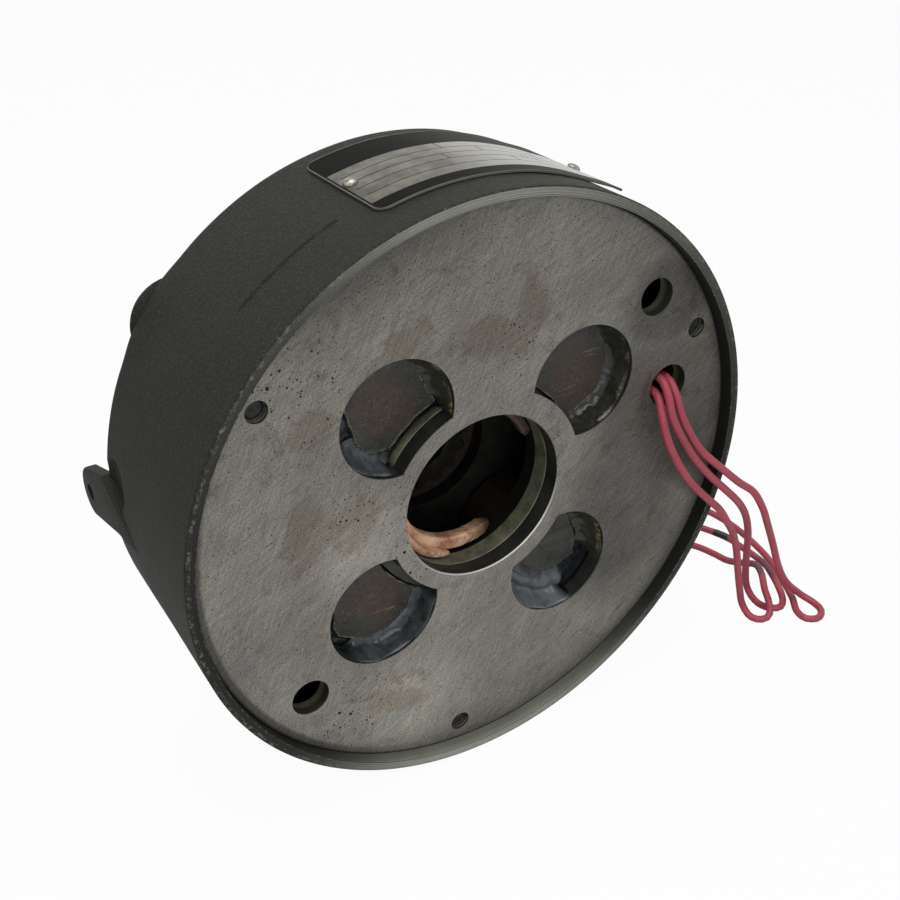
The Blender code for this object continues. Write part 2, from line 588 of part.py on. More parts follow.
def make_magnet_screws(finishes):
    """Socket screws sunk in the magnet's rear face, which hold it to the plate."""
    head_back = POLE_FACE_Y - SEAT_GAP
    head_front = head_back - MAGNET_HEAD_HEIGHT
    tip = PLATE_BACK_Y - MAGNET_SCREW_DEPTH
    socket = MAGNET_HEAD_RADIUS * 0.5
    for number, angle in enumerate(evenly(SCREW_COUNT, MAGNET_SCREW_ANGLE), 1):
        profile = [(0.0, head_back - MAGNET_HEAD_HEIGHT * 0.5),
                   (socket, head_back - MAGNET_HEAD_HEIGHT * 0.5), (socket, head_back),
                   (MAGNET_HEAD_RADIUS, head_back), (MAGNET_HEAD_RADIUS, head_front),
                   (MAGNET_SCREW_RADIUS, head_front), (MAGNET_SCREW_RADIUS, tip), (0.0, tip)]
        screw = bmesh.new()
        add_turned(screw, profile, rod_centre(MAGNET_RING_MIDDLE, angle), SCREW_SIDES)
        add_solid(f"magnet_screw_{number}", screw, finishes["screw"])


def make_cap_screws(finishes):
    """Long socket screws from the rear bosses into the plate. The sliding plates ride on them."""
    head_back = CAP_SEAT_Y + CAP_HEAD_HEIGHT
    seat = CAP_SEAT_Y + SEAT_GAP
    socket_floor = head_back - CAP_SOCKET_DEPTH
    for number, angle in enumerate(evenly(SCREW_COUNT, FIRST_SCREW_ANGLE), 1):
        profile = [(0.0, socket_floor), (CAP_SOCKET_RADIUS, socket_floor),
                   (CAP_SOCKET_RADIUS, head_back), (CAP_HEAD_RADIUS, head_back),
                   (CAP_HEAD_RADIUS, seat), (CAP_SHANK_RADIUS, seat),
                   (CAP_SHANK_RADIUS, CAP_TIP_Y), (0.0, CAP_TIP_Y)]
        screw = bmesh.new()
        add_turned(screw, profile, rod_centre(SCREW_CIRCLE_RADIUS, angle), SCREW_SIDES)
        add_solid(f"cap_screw_{number}", screw, finishes["screw"])


def make_pressure_plate(name, front_y, thickness, finishes):
    """A steel ring notched at its edge to slide on the three cap screws."""
    blank = revolve([(PRESSURE_BORE, front_y), (PRESSURE_RADIUS, front_y),
                     (PRESSURE_RADIUS, front_y + thickness), (PRESSURE_BORE, front_y + thickness)],
                    MIDDLE_SIDES)
    plate = add_solid(name, blank, finishes["steel"])
    notches = bmesh.new()
    for angle in evenly(SCREW_COUNT, FIRST_SCREW_ANGLE):
        centre = rod_centre(SCREW_CIRCLE_RADIUS, angle)
        add_rod(notches, CAP_SHANK_RADIUS + SLIDE_CLEARANCE, front_y - CUT_MARGIN,
                front_y + thickness + CUT_MARGIN, centre, SCREW_SIDES)
    cut_away(plate, add_solid(name + "_notches", notches))


def make_friction_disc(name, front_y, finishes):
    """A moulded disc with raised friction faces and a splined bore."""
    back_y = front_y + DISC_THICKNESS
    blank = revolve([(0.0, front_y + DISC_RELIEF), (FRICTION_INNER_RADIUS, front_y + DISC_RELIEF),
                     (FRICTION_INNER_RADIUS, front_y), (FRICTION_RADIUS, front_y),
                     (FRICTION_RADIUS, back_y), (FRICTION_INNER_RADIUS, back_y),
                     (FRICTION_INNER_RADIUS, back_y - DISC_RELIEF), (0.0, back_y - DISC_RELIEF)],
                    MIDDLE_SIDES)
    disc = add_solid(name, blank, finishes["lining"])
    bore = bmesh.new()
    add_prism(bore, spline_outline(SPLINE_CLEARANCE), front_y - CUT_MARGIN, back_y + CUT_MARGIN)
    cut_away(disc, add_solid(name + "_bore", bore))


def make_hub(finishes):
    """Splined hub for the motor shaft, with its bore and keyway."""
    front_y = DISC_1_Y - HUB_OVERHANG
    back_y = DISC_2_Y + DISC_THICKNESS + HUB_OVERHANG
    shape = bmesh.new()
    add_prism(shape, spline_outline(), front_y, back_y)
    hub = add_solid("splined_hub", shape, finishes["steel"])
    bore = bmesh.new()
    add_rod(bore, SHAFT_RADIUS, front_y - CUT_MARGIN, back_y + CUT_MARGIN)
    cut_away(hub, add_solid("hub_bore", bore))
    keyway = bmesh.new()
    half = KEY_WIDTH / 2
    outline = [(-half, 0.0), (half, 0.0), (half, SHAFT_RADIUS + KEY_DEPTH), (-half, SHAFT_RADIUS + KEY_DEPTH)]
    add_prism(keyway, outline, front_y - CUT_MARGIN, back_y + CUT_MARGIN)
    cut_away(hub, add_solid("hub_keyway", keyway))


def make_springs(finishes):
    """Six helical springs in the magnet's rear face. They press the armature back."""
    back = ARMATURE_Y - SEAT_GAP - SPRING_WIRE_RADIUS
    front = POLE_FACE_Y - SPRING_POCKET_DEPTH + SPRING_RUN + SPRING_WIRE_RADIUS
    steps_per_turn = 8
    steps = SPRING_TURNS * steps_per_turn
    for number, angle in enumerate(evenly(SPRING_COUNT, FIRST_SPRING_ANGLE), 1):
        middle = around(MAGNET_RING_MIDDLE, angle, 0.0)
        points = []
        for step in range(steps + 1):
            turn = 2 * math.pi * step / steps_per_turn
            y = front + (back - front) * step / steps
            points.append(middle + around(SPRING_RADIUS, turn, y))
        add_tube(f"torque_spring_{number}", points, SPRING_WIRE_RADIUS, finishes["steel"], 0)


def drive_screw_angles():
    """Angles of the two drive screws, just inside the ends of the nameplate."""
    return (NAMEPLATE_LEFT - DRIVE_SCREW_INSET, NAMEPLATE_RIGHT + DRIVE_SCREW_INSET)


def nameplate_lift(angle):
    """How far the nameplate's right end has sprung away from the wall."""
    share = (NAMEPLATE_LIFT_FROM - angle) / (NAMEPLATE_LIFT_FROM - NAMEPLATE_RIGHT)
    return NAMEPLATE_LIFT * max(share, 0.0) ** 2


def make_nameplate(finishes):
    """Thin plate with round corners, bent round the top of the wall and held by drive screws."""
    length = (NAMEPLATE_LEFT - NAMEPLATE_RIGHT) * RIM_RADIUS
    shape = bmesh.new()
    outline = []
    for corner_s, corner_y, first in ((length - NAMEPLATE_CORNER, NAMEPLATE_WIDTH - NAMEPLATE_CORNER, 0),
                                      (NAMEPLATE_CORNER, NAMEPLATE_WIDTH - NAMEPLATE_CORNER, 90),
                                      (NAMEPLATE_CORNER, NAMEPLATE_CORNER, 180),
                                      (length - NAMEPLATE_CORNER, NAMEPLATE_CORNER, 270)):
        for step in range(4):
            turn = math.radians(first + 30 * step)
            outline.append((corner_s + NAMEPLATE_CORNER * math.cos(turn),
                            corner_y + NAMEPLATE_CORNER * math.sin(turn)))
    corners = [shape.verts.new((s, y, 0.0)) for s, y in outline]
    face = shape.faces.new(corners)
    grown = bmesh.ops.extrude_face_region(shape, geom=[face])["geom"]
    moved = [item for item in grown if isinstance(item, bmesh.types.BMVert)]
    bmesh.ops.translate(shape, verts=moved, vec=(0, 0, NAMEPLATE_THICKNESS))
    bends = 16
    for bend in range(1, bends):
        bmesh.ops.bisect_plane(shape, geom=shape.verts[:] + shape.edges[:] + shape.faces[:],
                               plane_co=(length * bend / bends, 0, 0), plane_no=(1, 0, 0))
    bmesh.ops.triangulate(shape, faces=shape.faces)
    for vertex in shape.verts:
        angle = NAMEPLATE_LEFT - vertex.co.x / RIM_RADIUS
        y = NAMEPLATE_FRONT_Y + vertex.co.y
        radius = wall_radius(y) + SEAT_GAP + nameplate_lift(angle) + vertex.co.z
        vertex.co = around(radius, angle, y)
    plate = add_solid("nameplate", shape, finishes["nameplate"])

    y = DRIVE_SCREW_Y
    holes = bmesh.new()
    for angle in drive_screw_angles():
        hole = DRIVE_SHANK_RADIUS + SEAT_GAP
        radial_rod(holes, hole, wall_radius(y) - CUT_MARGIN, RIM_RADIUS + CUT_MARGIN, angle, y, 8)
    cut_away(plate, add_solid("nameplate_holes", holes))

    for number, angle in enumerate(drive_screw_angles(), 1):
        lift = nameplate_lift(angle)
        seat = wall_radius(y) + lift + NAMEPLATE_THICKNESS + SEAT_GAP * 2
        shank_tip = wall_radius(y) - DRIVE_SHANK_LENGTH + SEAT_GAP
        profile = [(0.0, seat + DRIVE_HEAD_HEIGHT)]
        for step in range(1, 4):
            turn = math.pi / 2 * step / 3
            profile.append((DRIVE_HEAD_RADIUS * math.sin(turn), seat + DRIVE_HEAD_HEIGHT * math.cos(turn)))
        profile += [(DRIVE_SHANK_RADIUS, seat), (DRIVE_SHANK_RADIUS, shank_tip), (0.0, shank_tip)]
        screw = revolve(profile, 10)
        outwards = around(1.0, angle, 0.0)
        turn_out = outwards.to_track_quat("Y", "Z").to_matrix().to_4x4()
        screw.transform(Matrix.Translation((0, y, 0)) @ turn_out)
        add_solid(f"drive_screw_{number}", screw, finishes["screw"])


def add_tube(name, points, radius, material, resolution):
    """A round tube through the points, with closed ends."""
    curve = bpy.data.curves.new(name, "CURVE")
    curve.dimensions = "3D"
    curve.bevel_depth = radius
    curve.bevel_resolution = resolution
    curve.use_fill_caps = True
    line = curve.splines.new("POLY")
    line.points.add(len(points) - 1)
    for place, point in zip(line.points, points):
        place.co = (*point, 1.0)
    return add_object(name, curve, material)


def smooth_route(route, spacing):
    """Points a given distance apart on the smooth curve that passes through a route's own points."""
    knots = [Vector(point) for point in route]
    knots = [2 * knots[0] - knots[1]] + knots + [2 * knots[-1] - knots[-2]]
    fine = []
    for before, start, end, after in zip(knots, knots[1:], knots[2:], knots[3:]):
        for step in range(24):
            share = step / 24
            fine.append(0.5 * (2 * start + (end - before) * share
                               + (2 * before - 5 * start + 4 * end - after) * share ** 2
                               + (3 * start - before - 3 * end + after) * share ** 3))
    fine.append(knots[-2])
    total = sum((b - a).length for a, b in zip(fine, fine[1:]))
    count = round(total / spacing)
    points = [fine[0]]
    travelled = 0.0
    for a, b in zip(fine, fine[1:]):
        travelled += (b - a).length
        if travelled >= total * len(points) / count and len(points) < count:
            points.append(b)
    points.append(fine[-1])
    return points


# Routes of the three leads: out of the bush, through the plate's lead hole, down over the rim,
# and in a loop on the surface that the rim stands on, back behind the housing.
LEAD_ROUTES = {
    "lead_1": [
        (0.0778, 0.0144, 0.0225), (0.0778, 0.0060, 0.0227), (0.0773, -0.0010, 0.0226),
        (0.0770, -0.0055, 0.0185), (0.0788, -0.0075, 0.0108), (0.0843, -0.0083, 0.0006),
        (0.0907, -0.0080, -0.0078), (0.1018, -0.0070, -0.0186), (0.1130, -0.0066, -0.0292),
        (0.1221, -0.0064, -0.0370), (0.1290, -0.0060, -0.0472), (0.1338, -0.0055, -0.0570),
        (0.1393, -0.0050, -0.0690), (0.1451, -0.0044, -0.0822), (0.1526, -0.0036, -0.0945),
        (0.1618, -0.0045, -0.1042), (0.1652, -0.0097, -0.1069), (0.1641, -0.0154, -0.1070),
        (0.1592, -0.0185, -0.1070), (0.1545, -0.0157, -0.1070), (0.1550, -0.0100, -0.1070),
        (0.1595, -0.0032, -0.1070), (0.1633, 0.0043, -0.1070), (0.1667, 0.0118, -0.1070),
        (0.1707, 0.0218, -0.1070), (0.1735, 0.0328, -0.1070), (0.1753, 0.0448, -0.1070),
        (0.1757, 0.0560, -0.1070), (0.1735, 0.0690, -0.1070), (0.1665, 0.0810, -0.1070),
        (0.1550, 0.0905, -0.1070), (0.1410, 0.0965, -0.1070), (0.1250, 0.0995, -0.1070),
        (0.1080, 0.1010, -0.1070), (0.0900, 0.1015, -0.1070), (0.0720, 0.1015, -0.1070),
        (0.0540, 0.1010, -0.1070), (0.0360, 0.1005, -0.1070), (0.0245, 0.1000, -0.1070),
    ],
    "lead_2": [
        (0.0743, 0.0144, 0.0236), (0.0743, 0.0060, 0.0238), (0.0738, -0.0010, 0.0236),
        (0.0732, -0.0056, 0.0194), (0.0746, -0.0077, 0.0108), (0.0807, -0.0083, -0.0003),
        (0.0882, -0.0080, -0.0109), (0.0978, -0.0070, -0.0217), (0.1072, -0.0064, -0.0312),
        (0.1163, -0.0050, -0.0408), (0.1243, -0.0020, -0.0514), (0.1315, 0.0020, -0.0649),
        (0.1368, 0.0060, -0.0790), (0.1412, 0.0092, -0.0920), (0.1440, 0.0095, -0.1025),
        (0.1447, 0.0043, -0.1069), (0.1460, -0.0017, -0.1070), (0.1505, -0.0044, -0.1070),
        (0.1550, -0.0017, -0.1066), (0.1572, 0.0035, -0.1040), (0.1600, 0.0110, -0.1026),
        (0.1628, 0.0180, -0.1030), (0.1648, 0.0270, -0.1044), (0.1669, 0.0378, -0.1066),
        (0.1669, 0.0469, -0.1070), (0.1630, 0.0570, -0.1070), (0.1570, 0.0680, -0.1070),
        (0.1480, 0.0775, -0.1070), (0.1370, 0.0845, -0.1070), (0.1240, 0.0885, -0.1070),
        (0.1080, 0.0910, -0.1070), (0.0910, 0.0922, -0.1070), (0.0730, 0.0928, -0.1070),
        (0.0550, 0.0930, -0.1070), (0.0370, 0.0930, -0.1070), (0.0190, 0.0930, -0.1070),
        (0.0010, 0.0930, -0.1070), (-0.0120, 0.0930, -0.1070),
    ],
    "lead_3": [
        (0.0724, 0.0144, 0.0187), (0.0724, 0.0060, 0.0189), (0.0719, -0.0015, 0.0182),
        (0.0706, -0.0058, 0.0130), (0.0726, -0.0080, 0.0034), (0.0784, -0.0085, -0.0082),
        (0.0868, -0.0080, -0.0200), (0.0968, -0.0070, -0.0308), (0.1049, -0.0063, -0.0392),
        (0.1108, -0.0053, -0.0476), (0.1163, -0.0040, -0.0557), (0.1215, -0.0022, -0.0667),
        (0.1260, -0.0005, -0.0800), (0.1303, 0.0010, -0.0925), (0.1338, 0.0018, -0.1020),
        (0.1351, -0.0022, -0.1066), (0.1377, -0.0062, -0.1070), (0.1414, -0.0073, -0.1055),
        (0.1447, -0.0032, -0.1027), (0.1474, 0.0026, -0.1004), (0.1522, 0.0098, -0.0988),
        (0.1560, 0.0172, -0.1000), (0.1566, 0.0250, -0.1042), (0.1548, 0.0328, -0.1070),
        (0.1531, 0.0398, -0.1070), (0.1505, 0.0478, -0.1070), (0.1455, 0.0560, -0.1070),
        (0.1390, 0.0640, -0.1070), (0.1310, 0.0705, -0.1070), (0.1210, 0.0760, -0.1070),
        (0.1080, 0.0800, -0.1070), (0.0920, 0.0825, -0.1070), (0.0740, 0.0840, -0.1070),
        (0.0560, 0.0848, -0.1070), (0.0380, 0.0850, -0.1070), (0.0200, 0.0850, -0.1070),
        (0.0020, 0.0850, -0.1070), (-0.0160, 0.0850, -0.1070), (-0.0340, 0.0850, -0.1070),
        (-0.0440, 0.0850, -0.1070),
    ],
}


def make_leads(finishes):
    """The bush that the coil leads leave, and the three leads."""
    bush = bmesh.new()
    centre = rod_centre(LEAD_CIRCLE_RADIUS, LEAD_ANGLE)
    add_rod(bush, LEAD_SLOT_RADIUS - SEAT_GAP, BUSH_FRONT_Y, BUSH_FRONT_Y + BUSH_LENGTH, centre)
    add_solid("lead_bush", bush, finishes["rubber"])
    for name, route in LEAD_ROUTES.items():
        add_tube(name, smooth_route(route, LEAD_POINT_SPACING), LEAD_RADIUS, finishes["lead"], 2)


def clear_scene():
    """Removes the objects of the file that the script starts from."""
    for item in list(bpy.data.objects):
        bpy.data.objects.remove(item, do_unlink=True)


def main():
    clear_scene()
    finishes = make_materials()
    make_housing(finishes)
    make_mounting_plate(finishes)
    make_magnet(finishes)
    make_magnet_screws(finishes)
    make_springs(finishes)
    make_pressure_plate("armature_plate", ARMATURE_Y, ARMATURE_THICKNESS, finishes)
    make_friction_disc("friction_disc_1", DISC_1_Y, finishes)
    make_pressure_plate("separator_plate", SEPARATOR_Y, SEPARATOR_THICKNESS, finishes)
    make_friction_disc("friction_disc_2", DISC_2_Y, finishes)
    make_pressure_plate("reaction_plate", REACTION_Y, REACTION_THICKNESS, finishes)
    make_hub(finishes)
    make_cap_screws(finishes)
    make_nameplate(finishes)
    make_leads(finishes)


main()
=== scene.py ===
"""The looks of the electromagnetic disc brake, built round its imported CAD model. In metres, +Z up.

The brake's axis is Y. Its mounting plate's face is at y = 0 and looks towards -Y, and the nameplate
is on top. The sections follow the brake as it is put together, after the studio and the leads.
"""

import math

import bmesh
import bpy
from mathutils import Matrix, Vector, noise


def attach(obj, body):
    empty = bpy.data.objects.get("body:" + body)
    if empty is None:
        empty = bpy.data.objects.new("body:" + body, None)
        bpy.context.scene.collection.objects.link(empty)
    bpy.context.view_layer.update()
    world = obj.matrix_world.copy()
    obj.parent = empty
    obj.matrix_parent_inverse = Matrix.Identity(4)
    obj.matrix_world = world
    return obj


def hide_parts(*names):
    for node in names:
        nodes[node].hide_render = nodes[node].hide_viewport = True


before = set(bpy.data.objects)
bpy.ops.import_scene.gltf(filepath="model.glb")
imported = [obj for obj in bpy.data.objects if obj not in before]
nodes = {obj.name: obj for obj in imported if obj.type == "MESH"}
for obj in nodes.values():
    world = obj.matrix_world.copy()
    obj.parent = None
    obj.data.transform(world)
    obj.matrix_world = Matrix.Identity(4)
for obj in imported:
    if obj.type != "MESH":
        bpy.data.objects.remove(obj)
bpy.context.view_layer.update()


# Studio
# A white sweep in a light tent: the brake lies on pale card, under one broad soft light from above
# and a weaker one from the front. The camera looks down on its mounting face from the left.
FLOOR_Z = -0.1087
CAMERA_PLACE = (-0.2015, -0.3004, 0.2383)
CAMERA_AIM = (0.4528, 0.7245, -0.5198)
CAMERA_LENS = 51.49


def linear(code):
    """Turns an sRGB hex colour into the linear colour that a shader takes."""
    parts = [int(code[place:place + 2], 16) / 255 for place in (1, 3, 5)]
    return (*[part / 12.92 if part <= 0.04045 else ((part + 0.055) / 1.055) ** 2.4 for part in parts], 1.0)


def add_node(tree, kind, inputs=None, **settings):
    """Adds a shader node with its settings. An input is a value, or an output to link to it."""
    node = tree.nodes.new("ShaderNode" + kind)
    for name, value in settings.items():
        setattr(node, name, value)
    for name, value in (inputs or {}).items():
        if isinstance(value, bpy.types.NodeSocket):
            tree.links.new(value, node.inputs[name])
        else:
            node.inputs[name].default_value = value
    return node


camera_data = bpy.data.cameras.new("studio_camera")
camera_data.lens = CAMERA_LENS
camera_data.sensor_width = 36.0
camera_data.clip_start = 0.01
camera = bpy.data.objects.new("studio_camera", camera_data)
camera.location = CAMERA_PLACE
camera.rotation_euler = Vector(CAMERA_AIM).to_track_quat("-Z", "Y").to_euler()
bpy.context.scene.collection.objects.link(camera)
bpy.context.scene.camera = camera

bpy.context.scene.view_settings.view_transform = "Standard"

for name, place, aim, size, power in (
        ("overhead_softbox", (-0.10, -0.10, 0.95), (0.0, 0.03, 0.0), 0.9, 8.5),
        ("front_softbox", (-0.30, -0.95, 0.10), (0.0, 0.0, 0.0), 0.7, 2.6)):
    light = bpy.data.lights.new(name, "AREA")
    light.shape = "SQUARE"
    light.size = size
    light.energy = power
    lamp = bpy.data.objects.new(name, light)
    lamp.location = place
    lamp.rotation_euler = (Vector(aim) - Vector(place)).to_track_quat("-Z", "Y").to_euler()
    bpy.context.scene.collection.objects.link(lamp)

world = bpy.data.worlds.new("light_tent")
world.use_nodes = True
bpy.context.scene.world = world
tree = world.node_tree
rays = add_node(tree, "LightPath").outputs
seen = add_node(tree, "Math", {0: rays["Is Camera Ray"], 1: rays["Is Glossy Ray"]}, operation="MAXIMUM")
seen = add_node(tree, "Math", {0: seen.outputs[0], 1: rays["Is Transmission Ray"]}, operation="MAXIMUM")
dim = add_node(tree, "Background", {"Color": linear("#808386"), "Strength": 1.0})
white = add_node(tree, "Background", {"Color": linear("#ffffff"), "Strength": 1.0})
both = add_node(tree, "MixShader", {0: seen.outputs[0], 1: dim.outputs[0], 2: white.outputs[0]})
tree.links.new(both.outputs[0], tree.nodes["World Output"].inputs["Surface"])

floor_shape = bmesh.new()
bmesh.ops.create_grid(floor_shape, x_segments=1, y_segments=1, size=4.0,
                      matrix=Matrix.Translation((0, 0, FLOOR_Z)))
floor_mesh = bpy.data.meshes.new("card_floor")
floor_shape.to_mesh(floor_mesh)
floor_shape.free()
floor = bpy.data.objects.new("card_floor", floor_mesh)
bpy.context.scene.collection.objects.link(floor)

# White card. The camera sees it almost fully lit, so that only the brake's shadow is left on it.
card = bpy.data.materials.new("white_card")
card.use_nodes = True
tree = card.node_tree
tree.nodes.remove(tree.nodes["Principled BSDF"])
rays = add_node(tree, "LightPath").outputs
matt = add_node(tree, "BsdfDiffuse", {"Color": linear("#eeeeee")})
glow = add_node(tree, "Emission", {"Color": linear("#ffffff"), "Strength": 1.0})
share = add_node(tree, "Math", {0: rays["Is Camera Ray"], 1: 0.96}, operation="MULTIPLY")
both = add_node(tree, "MixShader", {0: share.outputs[0], 1: matt.outputs[0], 2: glow.outputs[0]})
tree.links.new(both.outputs[0], tree.nodes["Material Output"].inputs["Surface"])
floor_mesh.materials.append(card)


# Leads
# Three leads bring current to the coils. Each is stranded copper in a moulded crimson rubber skin
# 3 mm thick. They hang out of the lead hole, loop on the surface below and run back behind the brake.
LEAD_DIAMETER = 0.003
LEAD_ROUTES = {
    "lead_1": [
        (0.0778, 0.0144, 0.0225), (0.0778, 0.0060, 0.0227), (0.0773, -0.0010, 0.0226),
        (0.0770, -0.0055, 0.0185), (0.0788, -0.0075, 0.0108), (0.0843, -0.0083, 0.0006),
        (0.0907, -0.0080, -0.0078), (0.1018, -0.0070, -0.0186), (0.1130, -0.0066, -0.0292),
        (0.1221, -0.0064, -0.0370), (0.1290, -0.0060, -0.0472), (0.1338, -0.0055, -0.0570),
        (0.1393, -0.0050, -0.0690), (0.1451, -0.0044, -0.0822), (0.1526, -0.0036, -0.0945),
        (0.1618, -0.0045, -0.1042), (0.1652, -0.0097, -0.1069), (0.1641, -0.0154, -0.1070),
        (0.1592, -0.0185, -0.1070), (0.1545, -0.0157, -0.1070), (0.1550, -0.0100, -0.1070),
        (0.1595, -0.0032, -0.1070), (0.1633, 0.0043, -0.1070), (0.1667, 0.0118, -0.1070),
        (0.1707, 0.0218, -0.1070), (0.1735, 0.0328, -0.1070), (0.1753, 0.0448, -0.1070),
        (0.1757, 0.0560, -0.1070), (0.1735, 0.0690, -0.1070), (0.1665, 0.0810, -0.1070),
        (0.1550, 0.0905, -0.1070), (0.1410, 0.0965, -0.1070), (0.1250, 0.0995, -0.1070),
        (0.1080, 0.1010, -0.1070), (0.0900, 0.1015, -0.1070), (0.0720, 0.1015, -0.1070),
        (0.0540, 0.1010, -0.1070), (0.0360, 0.1005, -0.1070), (0.0245, 0.1000, -0.1070),
    ],
    "lead_2": [
        (0.0743, 0.0144, 0.0236), (0.0743, 0.0060, 0.0238), (0.0738, -0.0010, 0.0236),
        (0.0732, -0.0056, 0.0194), (0.0746, -0.0077, 0.0108), (0.0807, -0.0083, -0.0003),
        (0.0882, -0.0080, -0.0109), (0.0978, -0.0070, -0.0217), (0.1072, -0.0064, -0.0312),
        (0.1163, -0.0050, -0.0408), (0.1243, -0.0020, -0.0514), (0.1315, 0.0020, -0.0649),
        (0.1368, 0.0060, -0.0790), (0.1412, 0.0092, -0.0920), (0.1440, 0.0095, -0.1025),
        (0.1447, 0.0043, -0.1069), (0.1460, -0.0017, -0.1070), (0.1505, -0.0044, -0.1070),
        (0.1550, -0.0017, -0.1066), (0.1572, 0.0035, -0.1040), (0.1600, 0.0110, -0.1026),
        (0.1628, 0.0180, -0.1030), (0.1648, 0.0270, -0.1044), (0.1669, 0.0378, -0.1066),
        (0.1669, 0.0469, -0.1070), (0.1630, 0.0570, -0.1070), (0.1570, 0.0680, -0.1070),
        (0.1480, 0.0775, -0.1070), (0.1370, 0.0845, -0.1070), (0.1240, 0.0885, -0.1070),
        (0.1080, 0.0910, -0.1070), (0.0910, 0.0922, -0.1070), (0.0730, 0.0928, -0.1070),
        (0.0550, 0.0930, -0.1070), (0.0370, 0.0930, -0.1070), (0.0190, 0.0930, -0.1070),
        (0.0010, 0.0930, -0.1070), (-0.0120, 0.0930, -0.1070),
    ],
    "lead_3": [
        (0.0724, 0.0144, 0.0187), (0.0724, 0.0060, 0.0189), (0.0719, -0.0015, 0.0182),
        (0.0706, -0.0058, 0.0130), (0.0726, -0.0080, 0.0034), (0.0784, -0.0085, -0.0082),
        (0.0868, -0.0080, -0.0200), (0.0968, -0.0070, -0.0308), (0.1049, -0.0063, -0.0392),
        (0.1108, -0.0053, -0.0476), (0.1163, -0.0040, -0.0557), (0.1215, -0.0022, -0.0667),
        (0.1260, -0.0005, -0.0800), (0.1303, 0.0010, -0.0925), (0.1338, 0.0018, -0.1020),
        (0.1351, -0.0022, -0.1066), (0.1377, -0.0062, -0.1070), (0.1414, -0.0073, -0.1055),
        (0.1447, -0.0032, -0.1027), (0.1474, 0.0026, -0.1004), (0.1522, 0.0098, -0.0988),
        (0.1560, 0.0172, -0.1000), (0.1566, 0.0250, -0.1042), (0.1548, 0.0328, -0.1070),
        (0.1531, 0.0398, -0.1070), (0.1505, 0.0478, -0.1070), (0.1455, 0.0560, -0.1070),
        (0.1390, 0.0640, -0.1070), (0.1310, 0.0705, -0.1070), (0.1210, 0.0760, -0.1070),
        (0.1080, 0.0800, -0.1070), (0.0920, 0.0825, -0.1070), (0.0740, 0.0840, -0.1070),
        (0.0560, 0.0848, -0.1070), (0.0380, 0.0850, -0.1070), (0.0200, 0.0850, -0.1070),
        (0.0020, 0.0850, -0.1070), (-0.0160, 0.0850, -0.1070), (-0.0340, 0.0850, -0.1070),
        (-0.0440, 0.0850, -0.1070),
    ],
}


def smooth_route(route, spacing):
    """Points about a spacing apart on the smooth curve that passes through a route's own points."""
    knots = [Vector(point) for point in route]
    knots = [2 * knots[0] - knots[1]] + knots + [2 * knots[-1] - knots[-2]]
    fine = []
    for before, start, end, after in zip(knots, knots[1:], knots[2:], knots[3:]):
        for step in range(24):
            share = step / 24
            fine.append(0.5 * (2 * start + (end - before) * share
                               + (2 * before - 5 * start + 4 * end - after) * share ** 2
                               + (3 * start - before - 3 * end + after) * share ** 3))
    fine.append(knots[-2])
    total = sum((b - a).length for a, b in zip(fine, fine[1:]))
    count = round(total / spacing)
    points = [fine[0]]
    travelled = 0.0
    for a, b in zip(fine, fine[1:]):
        travelled += (b - a).length
        if travelled >= total * len(points) / count and len(points) < count:
            points.append(b)
    points.append(fine[-1])
    return points


# Crimson lead rubber: dull and a little dusty, with a faint grain along the skin and rubbed,
# paler places. Its colour drifts between rose and wine red. Behind the brake it is stained dark, and
# one lead has a black sleeve there.
lead_rubber = bpy.data.materials.new("crimson_lead_rubber")
lead_rubber.use_nodes = True
tree = lead_rubber.node_tree
shader = tree.nodes["Principled BSDF"]
place = add_node(tree, "TexCoord").outputs["Object"]
drift = add_node(tree, "TexNoise", {"Vector": place, "Scale": 60.0, "Detail": 3.0})
grain = add_node(tree, "TexNoise", {"Vector": place, "Scale": 1400.0, "Detail": 3.0})
tint = add_node(tree, "ValToRGB", {"Fac": drift.outputs["Fac"]})
tint.color_ramp.elements[0].position = 0.35
tint.color_ramp.elements[0].color = linear("#7d2138")
tint.color_ramp.elements[1].position = 0.65
tint.color_ramp.elements[1].color = linear("#a83246")
dust = add_node(tree, "Mix", {0: grain.outputs["Fac"], 6: tint.outputs["Color"], 7: linear("#b8505c")},
                data_type="RGBA", blend_type="MIX")
marked = dust
for spot, size, colour, most in (((0.1560, 0.0170, -0.1005), 0.013, "#54303a", 0.8),
                                 ((0.1660, 0.0492, -0.1070), 0.0056, "#141312", 1.0)):
    near = add_node(tree, "Mapping", {"Vector": place, "Location": spot, "Scale": (size, size, size)},
                    vector_type="TEXTURE")
    near = add_node(tree, "TexGradient", {"Vector": near.outputs[0]}, gradient_type="SPHERICAL")
    near = add_node(tree, "MapRange", {"Value": near.outputs["Fac"], "From Min": 0.15, "From Max": 0.35,
                                       "To Max": most})
    marked = add_node(tree, "Mix", {0: near.outputs[0], 6: marked.outputs[2], 7: linear(colour)},
                      data_type="RGBA")
tree.links.new(marked.outputs[2], shader.inputs["Base Color"])
shader.inputs["Roughness"].default_value = 0.5
relief = add_node(tree, "Bump", {"Height": grain.outputs["Fac"], "Distance": 0.0001, "Strength": 0.5})
tree.links.new(relief.outputs[0], shader.inputs["Normal"])

